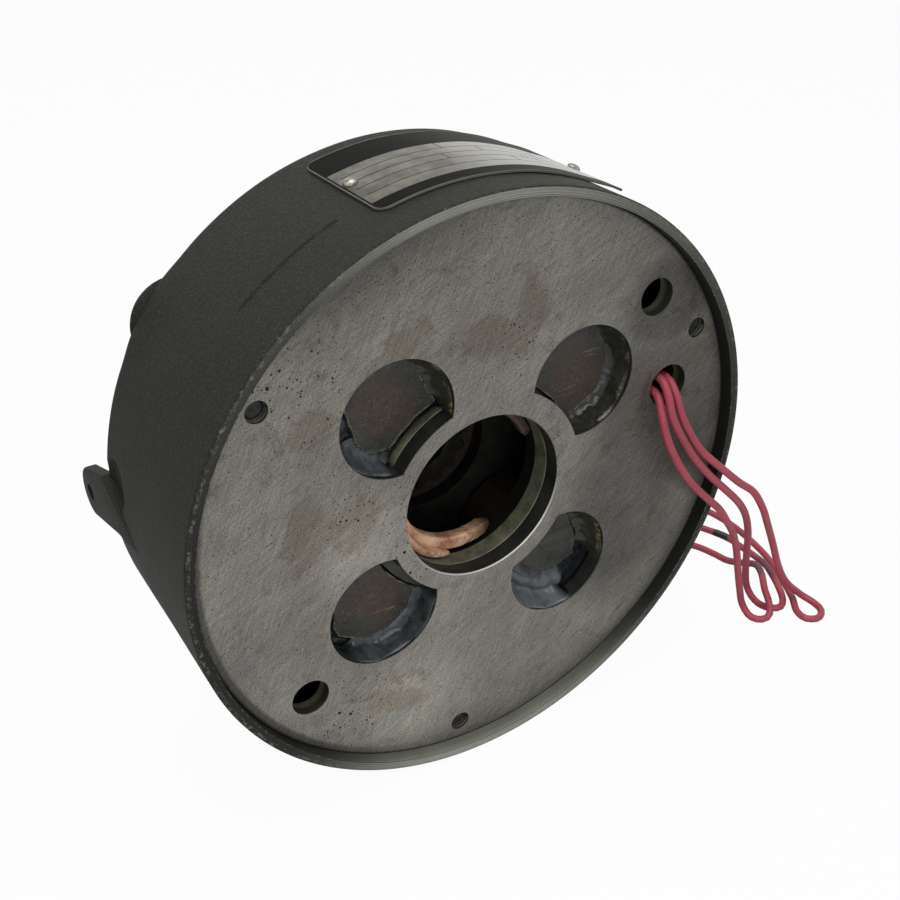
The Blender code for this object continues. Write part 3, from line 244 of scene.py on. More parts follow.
for name, route in LEAD_ROUTES.items():
    curve = bpy.data.curves.new(name + "_skin", "CURVE")
    curve.dimensions = "3D"
    curve.bevel_depth = LEAD_DIAMETER / 2
    curve.bevel_resolution = 6
    curve.use_fill_caps = True
    points = smooth_route(route, 0.0022)
    line = curve.splines.new("POLY")
    line.points.add(len(points) - 1)
    for vertex, point in zip(line.points, points):
        vertex.co = (*point, 1.0)
        vertex.radius = 1.1 if (point - Vector((0.1660, 0.0492, -0.1070))).length < 0.0036 else 1.0
    lead = bpy.data.objects.new(name + "_skin", curve)
    bpy.context.scene.collection.objects.link(lead)
    curve.materials.append(lead_rubber)
    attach(lead, "brake_body")
    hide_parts(name)


# Housing
# A deep cup of cast iron, turned where it meets the motor and the mounting plate. It has three bosses
# for the cap screws behind and a cast lug on the left. It is sprayed grey-green, straight on the cast skin.
RIM_RADIUS = 0.1085
REGISTER_RADIUS = 0.1049
RIM_FRONT_Y = -0.0050
RIM_EDGE = 0.0008
BACK_RADIUS = 0.1064
BACK_Y = 0.0704
BACK_FILLET = 0.0030
LEDGE_Y = 0.0068
CAVITY_RADIUS = 0.1016
CAVITY_BACK_Y = 0.0616
BOSS_ANGLES = [math.radians(24.5 + 120 * count) for count in range(3)]
BOSS_LEAN = math.radians(-1.1)
BOSS_CIRCLE = 0.0934
BOSS_RADIUS = 0.0158
BOSS_BACK_Y = 0.0738
SCREW_CIRCLE = 0.0970
LUG_FACE_X = -0.1080
LUG_THICKNESS = 0.0042
LUG_EYE = (0.0868, -0.0089)
LUG_END_RADIUS = 0.0090
SCOOP = (0.0605, 0.0080)
SCOOP_RADIUS = 0.0085
SCOOP_DEPTH = 0.0024


def around(radius, angle, y):
    """A point at a radius and an angle about the brake's axis. Angle 0 is +X and 90 degrees is +Z."""
    return Vector((radius * math.cos(angle), y, radius * math.sin(angle)))


def turn_profile(profile, steps):
    """Turns a closed outline of (radius, y) points about the brake's axis."""
    shape = bmesh.new()
    ring = [shape.verts.new((radius, y, 0.0)) for radius, y in profile]
    edges = []
    for start, end in zip(ring, ring[1:] + ring[:1]):
        if start.co.x > 1e-9 or end.co.x > 1e-9:
            edges.append(shape.edges.new((start, end)))
    bmesh.ops.spin(shape, geom=ring + edges, cent=(0, 0, 0), axis=(0, 1, 0), angle=2 * math.pi,
                   steps=steps, use_merge=True)
    bmesh.ops.remove_doubles(shape, verts=shape.verts, dist=1e-7)
    return shape


def add_loose(name, shape):
    """Turns a bmesh into an object in the scene, with its faces pointing out."""
    bmesh.ops.remove_doubles(shape, verts=shape.verts, dist=1e-7)
    bmesh.ops.recalc_face_normals(shape, faces=shape.faces)
    mesh = bpy.data.meshes.new(name)
    shape.to_mesh(mesh)
    shape.free()
    piece = bpy.data.objects.new(name, mesh)
    bpy.context.scene.collection.objects.link(piece)
    return piece


def combine(target, tool, operation):
    """Joins a tool to a piece, or cuts it away, and removes the tool."""
    change = target.modifiers.new("combine", "BOOLEAN")
    change.operation = operation
    change.solver = "EXACT"
    change.object = tool
    solid = bpy.data.meshes.new_from_object(target.evaluated_get(bpy.context.evaluated_depsgraph_get()))
    target.modifiers.clear()
    plain = target.data
    target.data = solid
    bpy.data.meshes.remove(plain)
    bpy.data.objects.remove(tool)


def fit_piece(piece, material, body="brake_body", replaces=(), sharp=30):
    """Gives a piece its finish, its body and the CAD nodes that it stands for."""
    piece.data.materials.clear()
    piece.data.materials.append(material)
    piece.data.shade_smooth()
    piece.data.set_sharp_from_angle(angle=math.radians(sharp))
    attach(piece, body)
    if replaces:
        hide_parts(*replaces)
    return piece


def smooth_step(value):
    """0 below 0, 1 above 1 and a smooth rise between."""
    value = min(max(value, 0.0), 1.0)
    return value * value * (3 - 2 * value)


# The half section runs from the rear centre round the outside to the inside of the cup.
profile = [(0.0, BACK_Y)] + [(0.012 * step, BACK_Y) for step in range(1, 5)]
profile += [(0.0540 + 0.0017 * step, BACK_Y) for step in range(29)]
for step in range(7):
    turn = math.pi / 2 * (1 - step / 6)
    profile.append((BACK_RADIUS - BACK_FILLET + BACK_FILLET * math.cos(turn),
                    BACK_Y - BACK_FILLET + BACK_FILLET * math.sin(turn)))
wall_rows = 52
for step in range(1, wall_rows + 1):
    share = step / wall_rows
    profile.append((BACK_RADIUS + (RIM_RADIUS - BACK_RADIUS) * share,
                    BACK_Y - BACK_FILLET + (RIM_FRONT_Y + RIM_EDGE - BACK_Y + BACK_FILLET) * share))
for step in range(1, 5):
    turn = math.pi / 2 * step / 4
    profile.append((RIM_RADIUS - RIM_EDGE + RIM_EDGE * math.cos(turn),
                    RIM_FRONT_Y + RIM_EDGE - RIM_EDGE * math.sin(turn)))
profile += [(0.1068, RIM_FRONT_Y), (0.1060, RIM_FRONT_Y), (REGISTER_RADIUS + 0.0003, RIM_FRONT_Y),
            (REGISTER_RADIUS, RIM_FRONT_Y + 0.0003), (REGISTER_RADIUS, -0.0020),
            (REGISTER_RADIUS, 0.0010), (REGISTER_RADIUS, LEDGE_Y), (CAVITY_RADIUS, LEDGE_Y),
            (CAVITY_RADIUS, 0.0250), (CAVITY_RADIUS, 0.0430)]
for step in range(5):
    turn = math.pi / 2 * step / 4
    profile.append((CAVITY_RADIUS - 0.003 + 0.003 * math.cos(turn),
                    CAVITY_BACK_Y - 0.003 + 0.003 * math.sin(turn)))
profile += [(0.0700, CAVITY_BACK_Y), (0.0350, CAVITY_BACK_Y), (0.0, CAVITY_BACK_Y)]
shape = turn_profile(profile, 480)

# The cast skin waves a little. It swells into the bosses, and a scoop is let in above the lug.
boss_centres = [around(BOSS_CIRCLE, angle + BOSS_LEAN, BACK_Y) for angle in BOSS_ANGLES]
for vertex in shape.verts:
    place = vertex.co
    radius = math.hypot(place.x, place.z)
    if place.y > BACK_Y - 1e-5 and radius < BACK_RADIUS - BACK_FILLET + 1e-5:
        for centre in boss_centres:
            gap = math.hypot(place.x - centre.x, place.z - centre.z) - BOSS_RADIUS
            if gap < 0.0024:
                share = min(max(1 - gap / 0.0024, 0.0), 1.0)
                place.y += 0.0024 * (1 - math.sqrt(1 - share * share))
        place.y += 0.00012 * noise.noise(place * 50)
    elif radius > BACK_RADIUS - BACK_FILLET + 1e-5 and place.y > RIM_FRONT_Y + RIM_EDGE + 1e-4:
        out = Vector((place.x, 0, place.z)).normalized()
        swell = 0.00016 * noise.noise(place * 38) * smooth_step((place.y + 0.004) / 0.02)
        for centre in boss_centres:
            aside = math.acos(max(min(out.dot(Vector((centre.x, 0, centre.z)).normalized()), 1.0), -1.0))
            swell += 0.0009 * smooth_step((0.20 - aside) / 0.13) * smooth_step((place.y - 0.052) / 0.016)
        if place.x < 0:
            far = math.hypot(place.y - SCOOP[0], place.z - SCOOP[1]) / SCOOP_RADIUS
            swell -= SCOOP_DEPTH * smooth_step((1.12 - far) / 0.34)
        place += out * swell
housing = add_loose("cast_housing", shape)

shape = bmesh.new()
for angle in BOSS_ANGLES:
    boss = [(0.0, BOSS_BACK_Y), (BOSS_RADIUS - 0.0036, BOSS_BACK_Y), (BOSS_RADIUS - 0.0022, BOSS_BACK_Y - 0.0003),
            (BOSS_RADIUS - 0.0011, BOSS_BACK_Y - 0.0010), (BOSS_RADIUS - 0.0004, BOSS_BACK_Y - 0.0019),
            (BOSS_RADIUS, BOSS_BACK_Y - 0.0029), (BOSS_RADIUS, BACK_Y), (0.0145, BACK_Y - 0.0012), (0.0128, BACK_Y - 0.0023),
            (0.0115, BACK_Y - 0.0034), (0.0, BACK_Y - 0.0034)]
    turned = turn_profile(boss, 72)
    turned.transform(Matrix.Translation(around(BOSS_CIRCLE, angle + BOSS_LEAN, 0.0)))
    loose = bpy.data.meshes.new("boss")
    turned.to_mesh(loose)
    turned.free()
    shape.from_mesh(loose)
    bpy.data.meshes.remove(loose)
combine(housing, add_loose("bosses", shape), "UNION")

# The lug is a flat bar that rises slowly out of the wall, with a rounded end past the back.
turns = []
for corner, side in (((0.070, 0.0068), -1), ((0.044, -0.0108), 1)):
    reach = Vector(corner) - Vector(LUG_EYE)
    turns.append(math.atan2(reach.y, reach.x) + side * math.acos(LUG_END_RADIUS / reach.length))
start, end = turns
if end > start:
    end -= 2 * math.pi
outline = [(0.044, -0.0084), (0.058, 0.0010), (0.070, 0.0068)]
for step in range(19):
    turn = start + (end - start) * step / 18
    outline.append((LUG_EYE[0] + LUG_END_RADIUS * math.cos(turn), LUG_EYE[1] + LUG_END_RADIUS * math.sin(turn)))
outline.append((0.060, -0.0111))
outline.append((0.044, -0.0108))
shape = bmesh.new()
face = shape.faces.new([shape.verts.new((LUG_FACE_X, y, z)) for y, z in outline])
grown = bmesh.ops.extrude_face_region(shape, geom=[face])["geom"]
bmesh.ops.translate(shape, verts=[item for item in grown if isinstance(item, bmesh.types.BMVert)],
                    vec=(LUG_THICKNESS, 0, 0))
bmesh.ops.recalc_face_normals(shape, faces=shape.faces)
front = [edge for edge in shape.edges if all(vertex.co.x < LUG_FACE_X + 1e-5 for vertex in edge.verts)]
bmesh.ops.bevel(shape, geom=front, offset=0.0010, offset_type="OFFSET", segments=3, profile=0.5,
                affect="EDGES", material=-1)
for vertex in shape.verts:
    if vertex.co.y < 0.060 and vertex.co.x < LUG_FACE_X + 0.0015:
        vertex.co.x += LUG_THICKNESS / 2 * min((0.060 - vertex.co.y) / 0.024, 1.0)
combine(housing, add_loose("lug", shape), "UNION")

shape = bmesh.new()
for angle in BOSS_ANGLES:
    hole = [(0.0, BOSS_BACK_Y + 0.004), (0.0066, BOSS_BACK_Y + 0.004), (0.0066, BOSS_BACK_Y),
            (0.0060, BOSS_BACK_Y - 0.0006), (0.0060, 0.0680), (0.0037, 0.0680),
            (0.0037, CAVITY_BACK_Y - 0.004), (0.0, CAVITY_BACK_Y - 0.004)]
    turned = turn_profile(hole, 40)
    turned.transform(Matrix.Translation(around(SCREW_CIRCLE, angle, 0.0)))
    loose = bpy.data.meshes.new("hole")
    turned.to_mesh(loose)
    turned.free()
    shape.from_mesh(loose)
    bpy.data.meshes.remove(loose)
bmesh.ops.create_cone(shape, cap_ends=True, segments=32, radius1=0.0030, radius2=0.0030, depth=0.02,
                      matrix=Matrix.Translation((LUG_FACE_X, LUG_EYE[0], LUG_EYE[1]))
                      @ Matrix.Rotation(math.radians(90), 4, "Y"))
combine(housing, add_loose("screw_holes", shape), "DIFFERENCE")

# Sprayed machine paint on a cast skin: semi-matt grey-green with an orange-peel grain of about 0.8 mm,
# rubbed lighter in patches, with one long black scuff. The rim's face is turned iron under a thin
# overspray, so it shows fine rings and bright nicks at its edge. Its face has painted light at the
# bottom and top and painted shade at the sides, and its inside is painted near black as shade.
SCUFF_Y = 0.0200
SCUFF_FROM = math.radians(112)
SCUFF_TO = math.radians(133)
paint = bpy.data.materials.new("sprayed_machine_paint")
paint.use_nodes = True
tree = paint.node_tree
shader = tree.nodes["Principled BSDF"]
place = add_node(tree, "TexCoord").outputs["Object"]
spread = add_node(tree, "SeparateXYZ", {0: place}).outputs
square_x = add_node(tree, "Math", {0: spread["X"], 1: 2.0}, operation="POWER")
square_z = add_node(tree, "Math", {0: spread["Z"], 1: 2.0}, operation="POWER")
square = add_node(tree, "Math", {0: square_x.outputs[0], 1: square_z.outputs[0]}, operation="ADD")
radius = add_node(tree, "Math", {0: square.outputs[0]}, operation="SQRT").outputs[0]

cloud = add_node(tree, "TexNoise", {"Vector": place, "Scale": 30.0, "Detail": 6.0, "Roughness": 0.62})
peel = add_node(tree, "TexNoise", {"Vector": place, "Scale": 1150.0, "Detail": 3.0, "Roughness": 0.6})
speck = add_node(tree, "TexNoise", {"Vector": place, "Scale": 520.0, "Detail": 3.0, "Roughness": 0.6})
tint = add_node(tree, "ValToRGB", {"Fac": cloud.outputs["Fac"]})
tint.color_ramp.elements[0].position = 0.30
tint.color_ramp.elements[0].color = linear("#22231e")
tint.color_ramp.elements[1].position = 0.74
tint.color_ramp.elements[1].color = linear("#2f302a")
lightened = add_node(tree, "MapRange", {"Value": peel.outputs["Fac"], "From Min": 0.50, "From Max": 0.66,
                                     "To Max": 0.18})
spotted = add_node(tree, "Mix", {0: lightened.outputs[0], 6: tint.outputs["Color"], 7: linear("#4b4c44")},
                   data_type="RGBA")
grained = add_node(tree, "MapRange", {"Value": peel.outputs["Fac"], "From Min": 0.32, "From Max": 0.68,
                                      "To Min": 0.77, "To Max": 1.23})
spotted = add_node(tree, "Mix", {0: 1.0, 6: spotted.outputs[2], 7: grained.outputs[0]}, data_type="RGBA",
                   blend_type="MULTIPLY")

# The scuff is a broken black line along the wall.
turn = add_node(tree, "Math", {0: spread["Z"], 1: spread["X"]}, operation="ARCTAN2")
off_line = add_node(tree, "Math", {0: speck.outputs["Fac"], 1: 0.0030, 2: spread["Y"]},
                    operation="MULTIPLY_ADD")
off_line = add_node(tree, "Math", {0: off_line.outputs[0], 1: SCUFF_Y + 0.0015, 2: 0.00095},
                    operation="COMPARE")
started = add_node(tree, "Math", {0: turn.outputs[0], 1: SCUFF_FROM}, operation="GREATER_THAN")
ended = add_node(tree, "Math", {0: turn.outputs[0], 1: SCUFF_TO}, operation="LESS_THAN")
span = add_node(tree, "Math", {0: started.outputs[0], 1: ended.outputs[0]}, operation="MULTIPLY")
broken = add_node(tree, "MapRange", {"Value": speck.outputs["Fac"], "From Min": 0.38, "From Max": 0.44,
                                     "To Max": 0.95})
scuff = add_node(tree, "Math", {0: off_line.outputs[0], 1: span.outputs[0]}, operation="MULTIPLY")
scuff = add_node(tree, "Math", {0: scuff.outputs[0], 1: broken.outputs[0]}, operation="MULTIPLY")
marked = add_node(tree, "Mix", {0: scuff.outputs[0], 6: spotted.outputs[2], 7: linear("#0d0d0c")},
                  data_type="RGBA")

# Turned iron of the rim's face and register, seen through thin overspray.
rings = add_node(tree, "CombineXYZ", {"X": radius, "Y": spread["Y"]})
lathe = add_node(tree, "TexNoise", {"Vector": rings.outputs[0], "Scale": 2600.0, "Detail": 2.0})
iron = add_node(tree, "ValToRGB", {"Fac": lathe.outputs["Fac"]})
iron.color_ramp.elements[0].position = 0.35
iron.color_ramp.elements[0].color = linear("#50514a")
iron.color_ramp.elements[1].position = 0.70
iron.color_ramp.elements[1].color = linear("#85857c")
turned_face = add_node(tree, "MapRange", {"Value": spread["Y"], "From Min": -0.00485, "From Max": -0.00497})
turned_wall = add_node(tree, "MapRange", {"Value": radius, "From Min": 0.10505, "From Max": 0.10495})
forward = add_node(tree, "Math", {0: spread["Y"], 1: LEDGE_Y + 0.0002}, operation="LESS_THAN")
turned_wall = add_node(tree, "Math", {0: turned_wall.outputs[0], 1: forward.outputs[0]}, operation="MULTIPLY")
turned_zone = add_node(tree, "Math", {0: turned_face.outputs[0], 1: turned_wall.outputs[0]},
                       operation="MAXIMUM").outputs[0]
# Painted light: the rim's face is painted bright at the very bottom, where the floor's light falls, and
# over the top, which faces the lamp. Painted shade darkens its sides and its right, and it is darker to the left.
height = add_node(tree, "Math", {0: spread["Z"], 1: radius}, operation="DIVIDE")
height = add_node(tree, "MapRange", {"Value": height.outputs[0], "From Min": -1.0, "From Max": 1.0})
painted_rim_light = add_node(tree, "ValToRGB", {"Fac": height.outputs[0]})
painted_rim_light.color_ramp.elements[0].color = (2.4, 2.4, 2.4, 1.0)
painted_rim_light.color_ramp.elements[1].color = (1.8, 1.8, 1.8, 1.0)
for stop, worn in ((0.04, 2.2), (0.09, 1.5), (0.16, 0.5), (0.45, 0.38), (0.62, 0.5), (0.80, 0.9), (0.93, 1.3)):
    painted_rim_light.color_ramp.elements.new(stop).color = (worn, worn, worn, 1.0)
painted_rim_shade = add_node(tree, "MapRange", {"Value": spread["X"], "From Min": 0.02, "From Max": 0.09,
                                     "To Min": 1.0, "To Max": 0.6})
painted_rim_light = add_node(tree, "Mix", {0: 1.0, 6: painted_rim_light.outputs["Color"], 7: painted_rim_shade.outputs[0]},
                   data_type="RGBA", blend_type="MULTIPLY")
darker_left = add_node(tree, "MapRange", {"Value": spread["X"], "From Min": -0.030, "From Max": -0.068,
                                    "To Min": 1.0, "To Max": 0.40})
painted_rim_light = add_node(tree, "Mix", {0: 1.0, 6: painted_rim_light.outputs[2], 7: darker_left.outputs[0]},
                   data_type="RGBA", blend_type="MULTIPLY")
iron = add_node(tree, "Mix", {0: 1.0, 6: iron.outputs["Color"], 7: painted_rim_light.outputs[2]}, data_type="RGBA",
                blend_type="MULTIPLY")
patchy = add_node(tree, "MapRange", {"Value": cloud.outputs["Fac"], "From Min": 0.30, "From Max": 0.55,
                                     "To Min": 0.72, "To Max": 1.0})
zone = add_node(tree, "Math", {0: turned_zone, 1: patchy.outputs[0]}, operation="MULTIPLY").outputs[0]
skin = add_node(tree, "Mix", {0: zone, 6: marked.outputs[2], 7: iron.outputs[2]}, data_type="RGBA")
# Painted shade: the register's inside, in the gap by the plate, is painted near black, less so towards the
# bottom.
painted_inner_shade = add_node(tree, "MapRange", {"Value": spread["Z"], "From Min": -0.060, "From Max": -0.095,
                                   "To Min": 0.85, "To Max": 0.35})
inner_wall_shade = add_node(tree, "Math", {0: turned_wall.outputs[0], 1: painted_inner_shade.outputs[0]}, operation="MULTIPLY")
skin = add_node(tree, "Mix", {0: inner_wall_shade.outputs[0], 6: skin.outputs[2], 7: linear("#181a19")},
                data_type="RGBA")

# Nicks along the front edge lay the iron bare.
edge = add_node(tree, "MapRange", {"Value": spread["Y"], "From Min": -0.0040, "From Max": -0.0050})
nick_noise = add_node(tree, "TexNoise", {"Vector": place, "Scale": 420.0, "Detail": 9.0, "Roughness": 0.85})
nick_level = add_node(tree, "Math", {0: edge.outputs[0], 1: 0.12, 2: nick_noise.outputs["Fac"]},
                      operation="MULTIPLY_ADD")
nicks = add_node(tree, "MapRange", {"Value": nick_level.outputs[0], "From Min": 0.63, "From Max": 0.70,
                                    "To Max": 0.6})
outside = add_node(tree, "MapRange", {"Value": radius, "From Min": 0.1066, "From Max": 0.1072})
corner = add_node(tree, "Math", {0: radius, 1: REGISTER_RADIUS + 0.0003, 2: 0.0002}, operation="COMPARE")
outside = add_node(tree, "Math", {0: outside.outputs[0], 1: corner.outputs[0]}, operation="MAXIMUM")
nicks = add_node(tree, "Math", {0: nicks.outputs[0], 1: outside.outputs[0]}, operation="MULTIPLY").outputs[0]
worn = add_node(tree, "Mix", {0: nicks, 6: skin.outputs[2], 7: linear("#8b8a82")}, data_type="RGBA")
tree.links.new(worn.outputs[2], shader.inputs["Base Color"])

metal = add_node(tree, "Math", {0: zone, 1: 0.25, 2: nicks}, operation="MULTIPLY_ADD", use_clamp=True)
tree.links.new(metal.outputs[0], shader.inputs["Metallic"])
rough = add_node(tree, "MapRange", {"Value": cloud.outputs["Fac"], "From Min": 0.3, "From Max": 0.7,
                                    "To Min": 0.52, "To Max": 0.66})
tree.links.new(rough.outputs[0], shader.inputs["Roughness"])
shader.inputs["Specular IOR Level"].default_value = 0.1
coarse = add_node(tree, "Math", {0: speck.outputs["Fac"], 1: 0.7, 2: peel.outputs["Fac"]},
                  operation="MULTIPLY_ADD")
level = add_node(tree, "Mix", {0: turned_zone, 2: coarse.outputs[0], 3: lathe.outputs["Fac"]}, data_type="FLOAT")
depth = add_node(tree, "Mix", {0: turned_zone, 2: 0.75, 3: 0.35}, data_type="FLOAT")
relief = add_node(tree, "Bump", {"Height": level.outputs[0], "Distance": 0.0004, "Strength": depth.outputs[0]})
tree.links.new(relief.outputs[0], shader.inputs["Normal"])
fit_piece(housing, paint, replaces=["housing"])


# Mounting plate
# A steel disc, surface ground on its face, that closes the cup and bolts to the motor. It has the bore,
# four windows to the poles, two mounting holes, the lead hole and three tapped holes.
PLATE_RADIUS = 0.1046
PLATE_BACK_Y = 0.0065
BORE_RADIUS = 0.03015
WINDOW_ANGLES = [math.radians(39.5 + 90 * count) for count in range(4)]
WINDOW_CIRCLE = 0.0512
WINDOW_RADIUS = 0.0206
WINDOW_INNER = (0.0390, 0.0365, 0.0365, 0.0365)
MOUNTING_CIRCLE = 0.0890
MOUNTING_RADIUS = 0.00685
LEAD_HOLE_RADIUS = 0.0080
LEAD_CIRCLE = 0.0800
LEAD_ANGLE = math.radians(14.8)
TAPPED_RADIUS = 0.00375
THREAD_PITCH = 0.00125


def clipped_circle(angle, radius, inner_limit, steps=72):
    """Outline of a window: a circle cut off on its inner side by a larger circle about the axis."""
    distance = WINDOW_CIRCLE
    half_inner = math.acos((distance ** 2 + inner_limit ** 2 - radius ** 2) / (2 * distance * inner_limit))
    half_outer = math.pi - math.acos((distance ** 2 + radius ** 2 - inner_limit ** 2) / (2 * distance * radius))
    centre = around(distance, angle, 0.0)
    outline = [centre + around(radius, angle + half_outer * (2 * step / steps - 1), 0.0)
               for step in range(steps + 1)]
    inner_steps = steps // 3
    outline += [around(inner_limit, angle + half_inner * (1 - 2 * step / inner_steps), 0.0)
                for step in range(1, inner_steps)]
    return outline


shape = turn_profile([(BORE_RADIUS, 0.00036), (BORE_RADIUS + 0.00036, 0.0), (PLATE_RADIUS, 0.0), (PLATE_RADIUS, PLATE_BACK_Y),
                      (BORE_RADIUS, PLATE_BACK_Y)], 360)
plate = add_loose("ground_mounting_plate", shape)
shape = bmesh.new()
for angle, inner in zip(WINDOW_ANGLES, WINDOW_INNER):
    face = shape.faces.new([shape.verts.new(point + Vector((0, -0.004, 0)))
                            for point in clipped_circle(angle, WINDOW_RADIUS, inner)])
    grown = bmesh.ops.extrude_face_region(shape, geom=[face])["geom"]
    bmesh.ops.translate(shape, verts=[item for item in grown if isinstance(item, bmesh.types.BMVert)],
                        vec=(0, 0.0145, 0))
drilled = [(MOUNTING_RADIUS, around(MOUNTING_CIRCLE, WINDOW_ANGLES[0], 0.003)),
           (MOUNTING_RADIUS, around(MOUNTING_CIRCLE, WINDOW_ANGLES[2], 0.003)),
           (LEAD_HOLE_RADIUS, around(LEAD_CIRCLE, LEAD_ANGLE, 0.003))]
drilled += [(TAPPED_RADIUS, around(SCREW_CIRCLE, angle, 0.003)) for angle in BOSS_ANGLES]
for radius, centre in drilled:
    bmesh.ops.create_cone(shape, cap_ends=True, segments=64, radius1=radius, radius2=radius, depth=0.014,
                          matrix=Matrix.Translation(centre) @ Matrix.Rotation(math.radians(90), 4, "X"))
combine(plate, add_loose("plate_holes", shape), "DIFFERENCE")
broken = plate.modifiers.new("broken_edges", "BEVEL")
broken.width = 0.00028
broken.segments = 2
broken.limit_method = "ANGLE"
broken.angle_limit = math.radians(50)
broken.use_clamp_overlap = True

# Ground steel left in store: warm grey, half dull, with fine scratches both ways, blotches of brown
# and blue-grey oil stain, and clusters of black rust pits. The walls of its holes have gone black.
STAINS = [((-0.036, 0.060), (0.024, 0.0065), 38), ((0.004, 0.058), (0.010, 0.018), 80),
          ((0.018, 0.066), (0.009, 0.012), 0), ((-0.066, 0.010), (0.011, 0.020), 0),
          ((-0.036, -0.074), (0.018, 0.008), -20), ((-0.050, 0.006), (0.016, 0.012), 60),
          ((-0.062, 0.044), (0.012, 0.010), 20)]
# Painted shade: ovals where the face is painted darker, over the right side and the top; on the right it is
# partly a darker stain too.
PAINTED_SHADES = [((0.074, 0.006), (0.042, 0.052), 0), ((0.074, 0.052), (0.024, 0.024), 0),
          ((0.060, -0.028), (0.038, 0.046), 0), ((-0.070, 0.118), (0.100, 0.056), 0)]
# Painted light: ovals where the face is painted lighter.
PAINTED_LIGHT_OVALS = [((-0.034, -0.080), (0.034, 0.026), 0), ((-0.046, -0.002), (0.026, 0.022), 0)]
PIT_FIELDS = [((0.012, 0.052), (0.011, 0.015), 0), ((-0.056, 0.046), (0.014, 0.012), 0),
              ((-0.047, 0.010), (0.012, 0.012), 0), ((-0.052, -0.070), (0.022, 0.020), 0),
              ((-0.070, 0.060), (0.024, 0.020), 0), ((-0.030, -0.010), (0.014, 0.030), 0)]
steel = bpy.data.materials.new("ground_steel")
steel.use_nodes = True
tree = steel.node_tree
shader = tree.nodes["Principled BSDF"]
place = add_node(tree, "TexCoord").outputs["Object"]
spread = add_node(tree, "SeparateXYZ", {0: place}).outputs
square_x = add_node(tree, "Math", {0: spread["X"], 1: 2.0}, operation="POWER")
square_z = add_node(tree, "Math", {0: spread["Z"], 1: 2.0}, operation="POWER")
square = add_node(tree, "Math", {0: square_x.outputs[0], 1: square_z.outputs[0]}, operation="ADD")
radius = add_node(tree, "Math", {0: square.outputs[0]}, operation="SQRT").outputs[0]


def patches(spots):
    """A mask of soft ovals: each spot is its centre in (x, z), its half sizes and its turn."""
    mask = 0.0
    for (x, z), (wide, high), turn in spots:
        oval = add_node(tree, "Mapping", {"Vector": place, "Location": (x, 0, z),
                                          "Rotation": (0, math.radians(-turn), 0),
                                          "Scale": (wide, 1.0, high)}, vector_type="TEXTURE")
        fade = add_node(tree, "TexGradient", {"Vector": oval.outputs[0]}, gradient_type="SPHERICAL")
        mask = add_node(tree, "Math", {0: mask, 1: fade.outputs["Fac"]}, operation="MAXIMUM").outputs[0]
    return mask


def scratches(turn, length, width, low, high):
    """Fine scratches one way across the face, from 0 on the bare face to 1 on a scratch."""
    way = add_node(tree, "Mapping", {"Vector": place, "Rotation": (0, math.radians(-turn), 0),
                                     "Scale": (length, 1.0, width)}, vector_type="TEXTURE")
    lines = add_node(tree, "TexNoise", {"Vector": way.outputs[0], "Scale": 1.0, "Detail": 4.0,
                                        "Roughness": 0.7, "Distortion": 0.3})
    return add_node(tree, "MapRange", {"Value": lines.outputs["Fac"], "From Min": low,
                                       "From Max": high}).outputs[0]


cloud = add_node(tree, "TexNoise", {"Vector": place, "Scale": 24.0, "Detail": 7.0, "Roughness": 0.66})
blotch = add_node(tree, "TexNoise", {"Vector": place, "Scale": 75.0, "Detail": 5.0, "Roughness": 0.6,
                                     "Distortion": 0.6})
grit = add_node(tree, "TexNoise", {"Vector": place, "Scale": 1500.0, "Detail": 3.0, "Roughness": 0.7})
tone = add_node(tree, "ValToRGB", {"Fac": cloud.outputs["Fac"]})
tone.color_ramp.elements[0].position = 0.30
tone.color_ramp.elements[0].color = linear("#7d7973")
tone.color_ramp.elements[1].position = 0.68
tone.color_ramp.elements[1].color = linear("#9c988f")

# Oil stains: pinkish brown where the spots are, and a cooler grey in random blotches.
drift = add_node(tree, "TexNoise", {"Vector": place, "Scale": 52.0, "Detail": 9.0, "Roughness": 0.74,
                                    "Distortion": 1.6})
ragged = add_node(tree, "Math", {0: drift.outputs["Fac"], 1: 2.2, 2: patches(STAINS)},
                  operation="MULTIPLY_ADD")
stained = add_node(tree, "MapRange", {"Value": ragged.outputs[0], "From Min": 1.28, "From Max": 1.48,
                                      "To Max": 0.42})
browned = add_node(tree, "Mix", {0: stained.outputs[0], 6: tone.outputs["Color"], 7: linear("#6c5f4e")},
                   data_type="RGBA")
warmed = add_node(tree, "MapRange", {"Value": drift.outputs["Fac"], "From Min": 0.55, "From Max": 0.60,
                                     "To Max": 0.30})
browned = add_node(tree, "Mix", {0: warmed.outputs[0], 6: browned.outputs[2], 7: linear("#6f6455")},
                   data_type="RGBA")
cooled = add_node(tree, "MapRange", {"Value": drift.outputs["Fac"], "From Min": 0.44, "From Max": 0.38,
                                     "To Max": 0.30})
browned = add_node(tree, "Mix", {0: cooled.outputs[0], 6: browned.outputs[2], 7: linear("#5f666a")},
                   data_type="RGBA")
# Painted shade over the right side and the top, on the right partly a stain.
shade = add_node(tree, "MapRange", {"Value": patches(PAINTED_SHADES), "From Max": 0.55, "To Min": 1.0, "To Max": 0.50},
                 interpolation_type="SMOOTHSTEP")
toned = add_node(tree, "Mix", {0: 1.0, 6: browned.outputs[2], 7: shade.outputs[0]},
                 data_type="RGBA", blend_type="MULTIPLY")
# Painted shade in a band round the edge, where the rim shades the face.
border = add_node(tree, "MapRange", {"Value": radius, "From Min": 0.088, "From Max": 0.1035,
                                     "To Min": 1.0, "To Max": 0.94})
toned = add_node(tree, "Mix", {0: 1.0, 6: toned.outputs[2], 7: border.outputs[0]},
                 data_type="RGBA", blend_type="MULTIPLY")
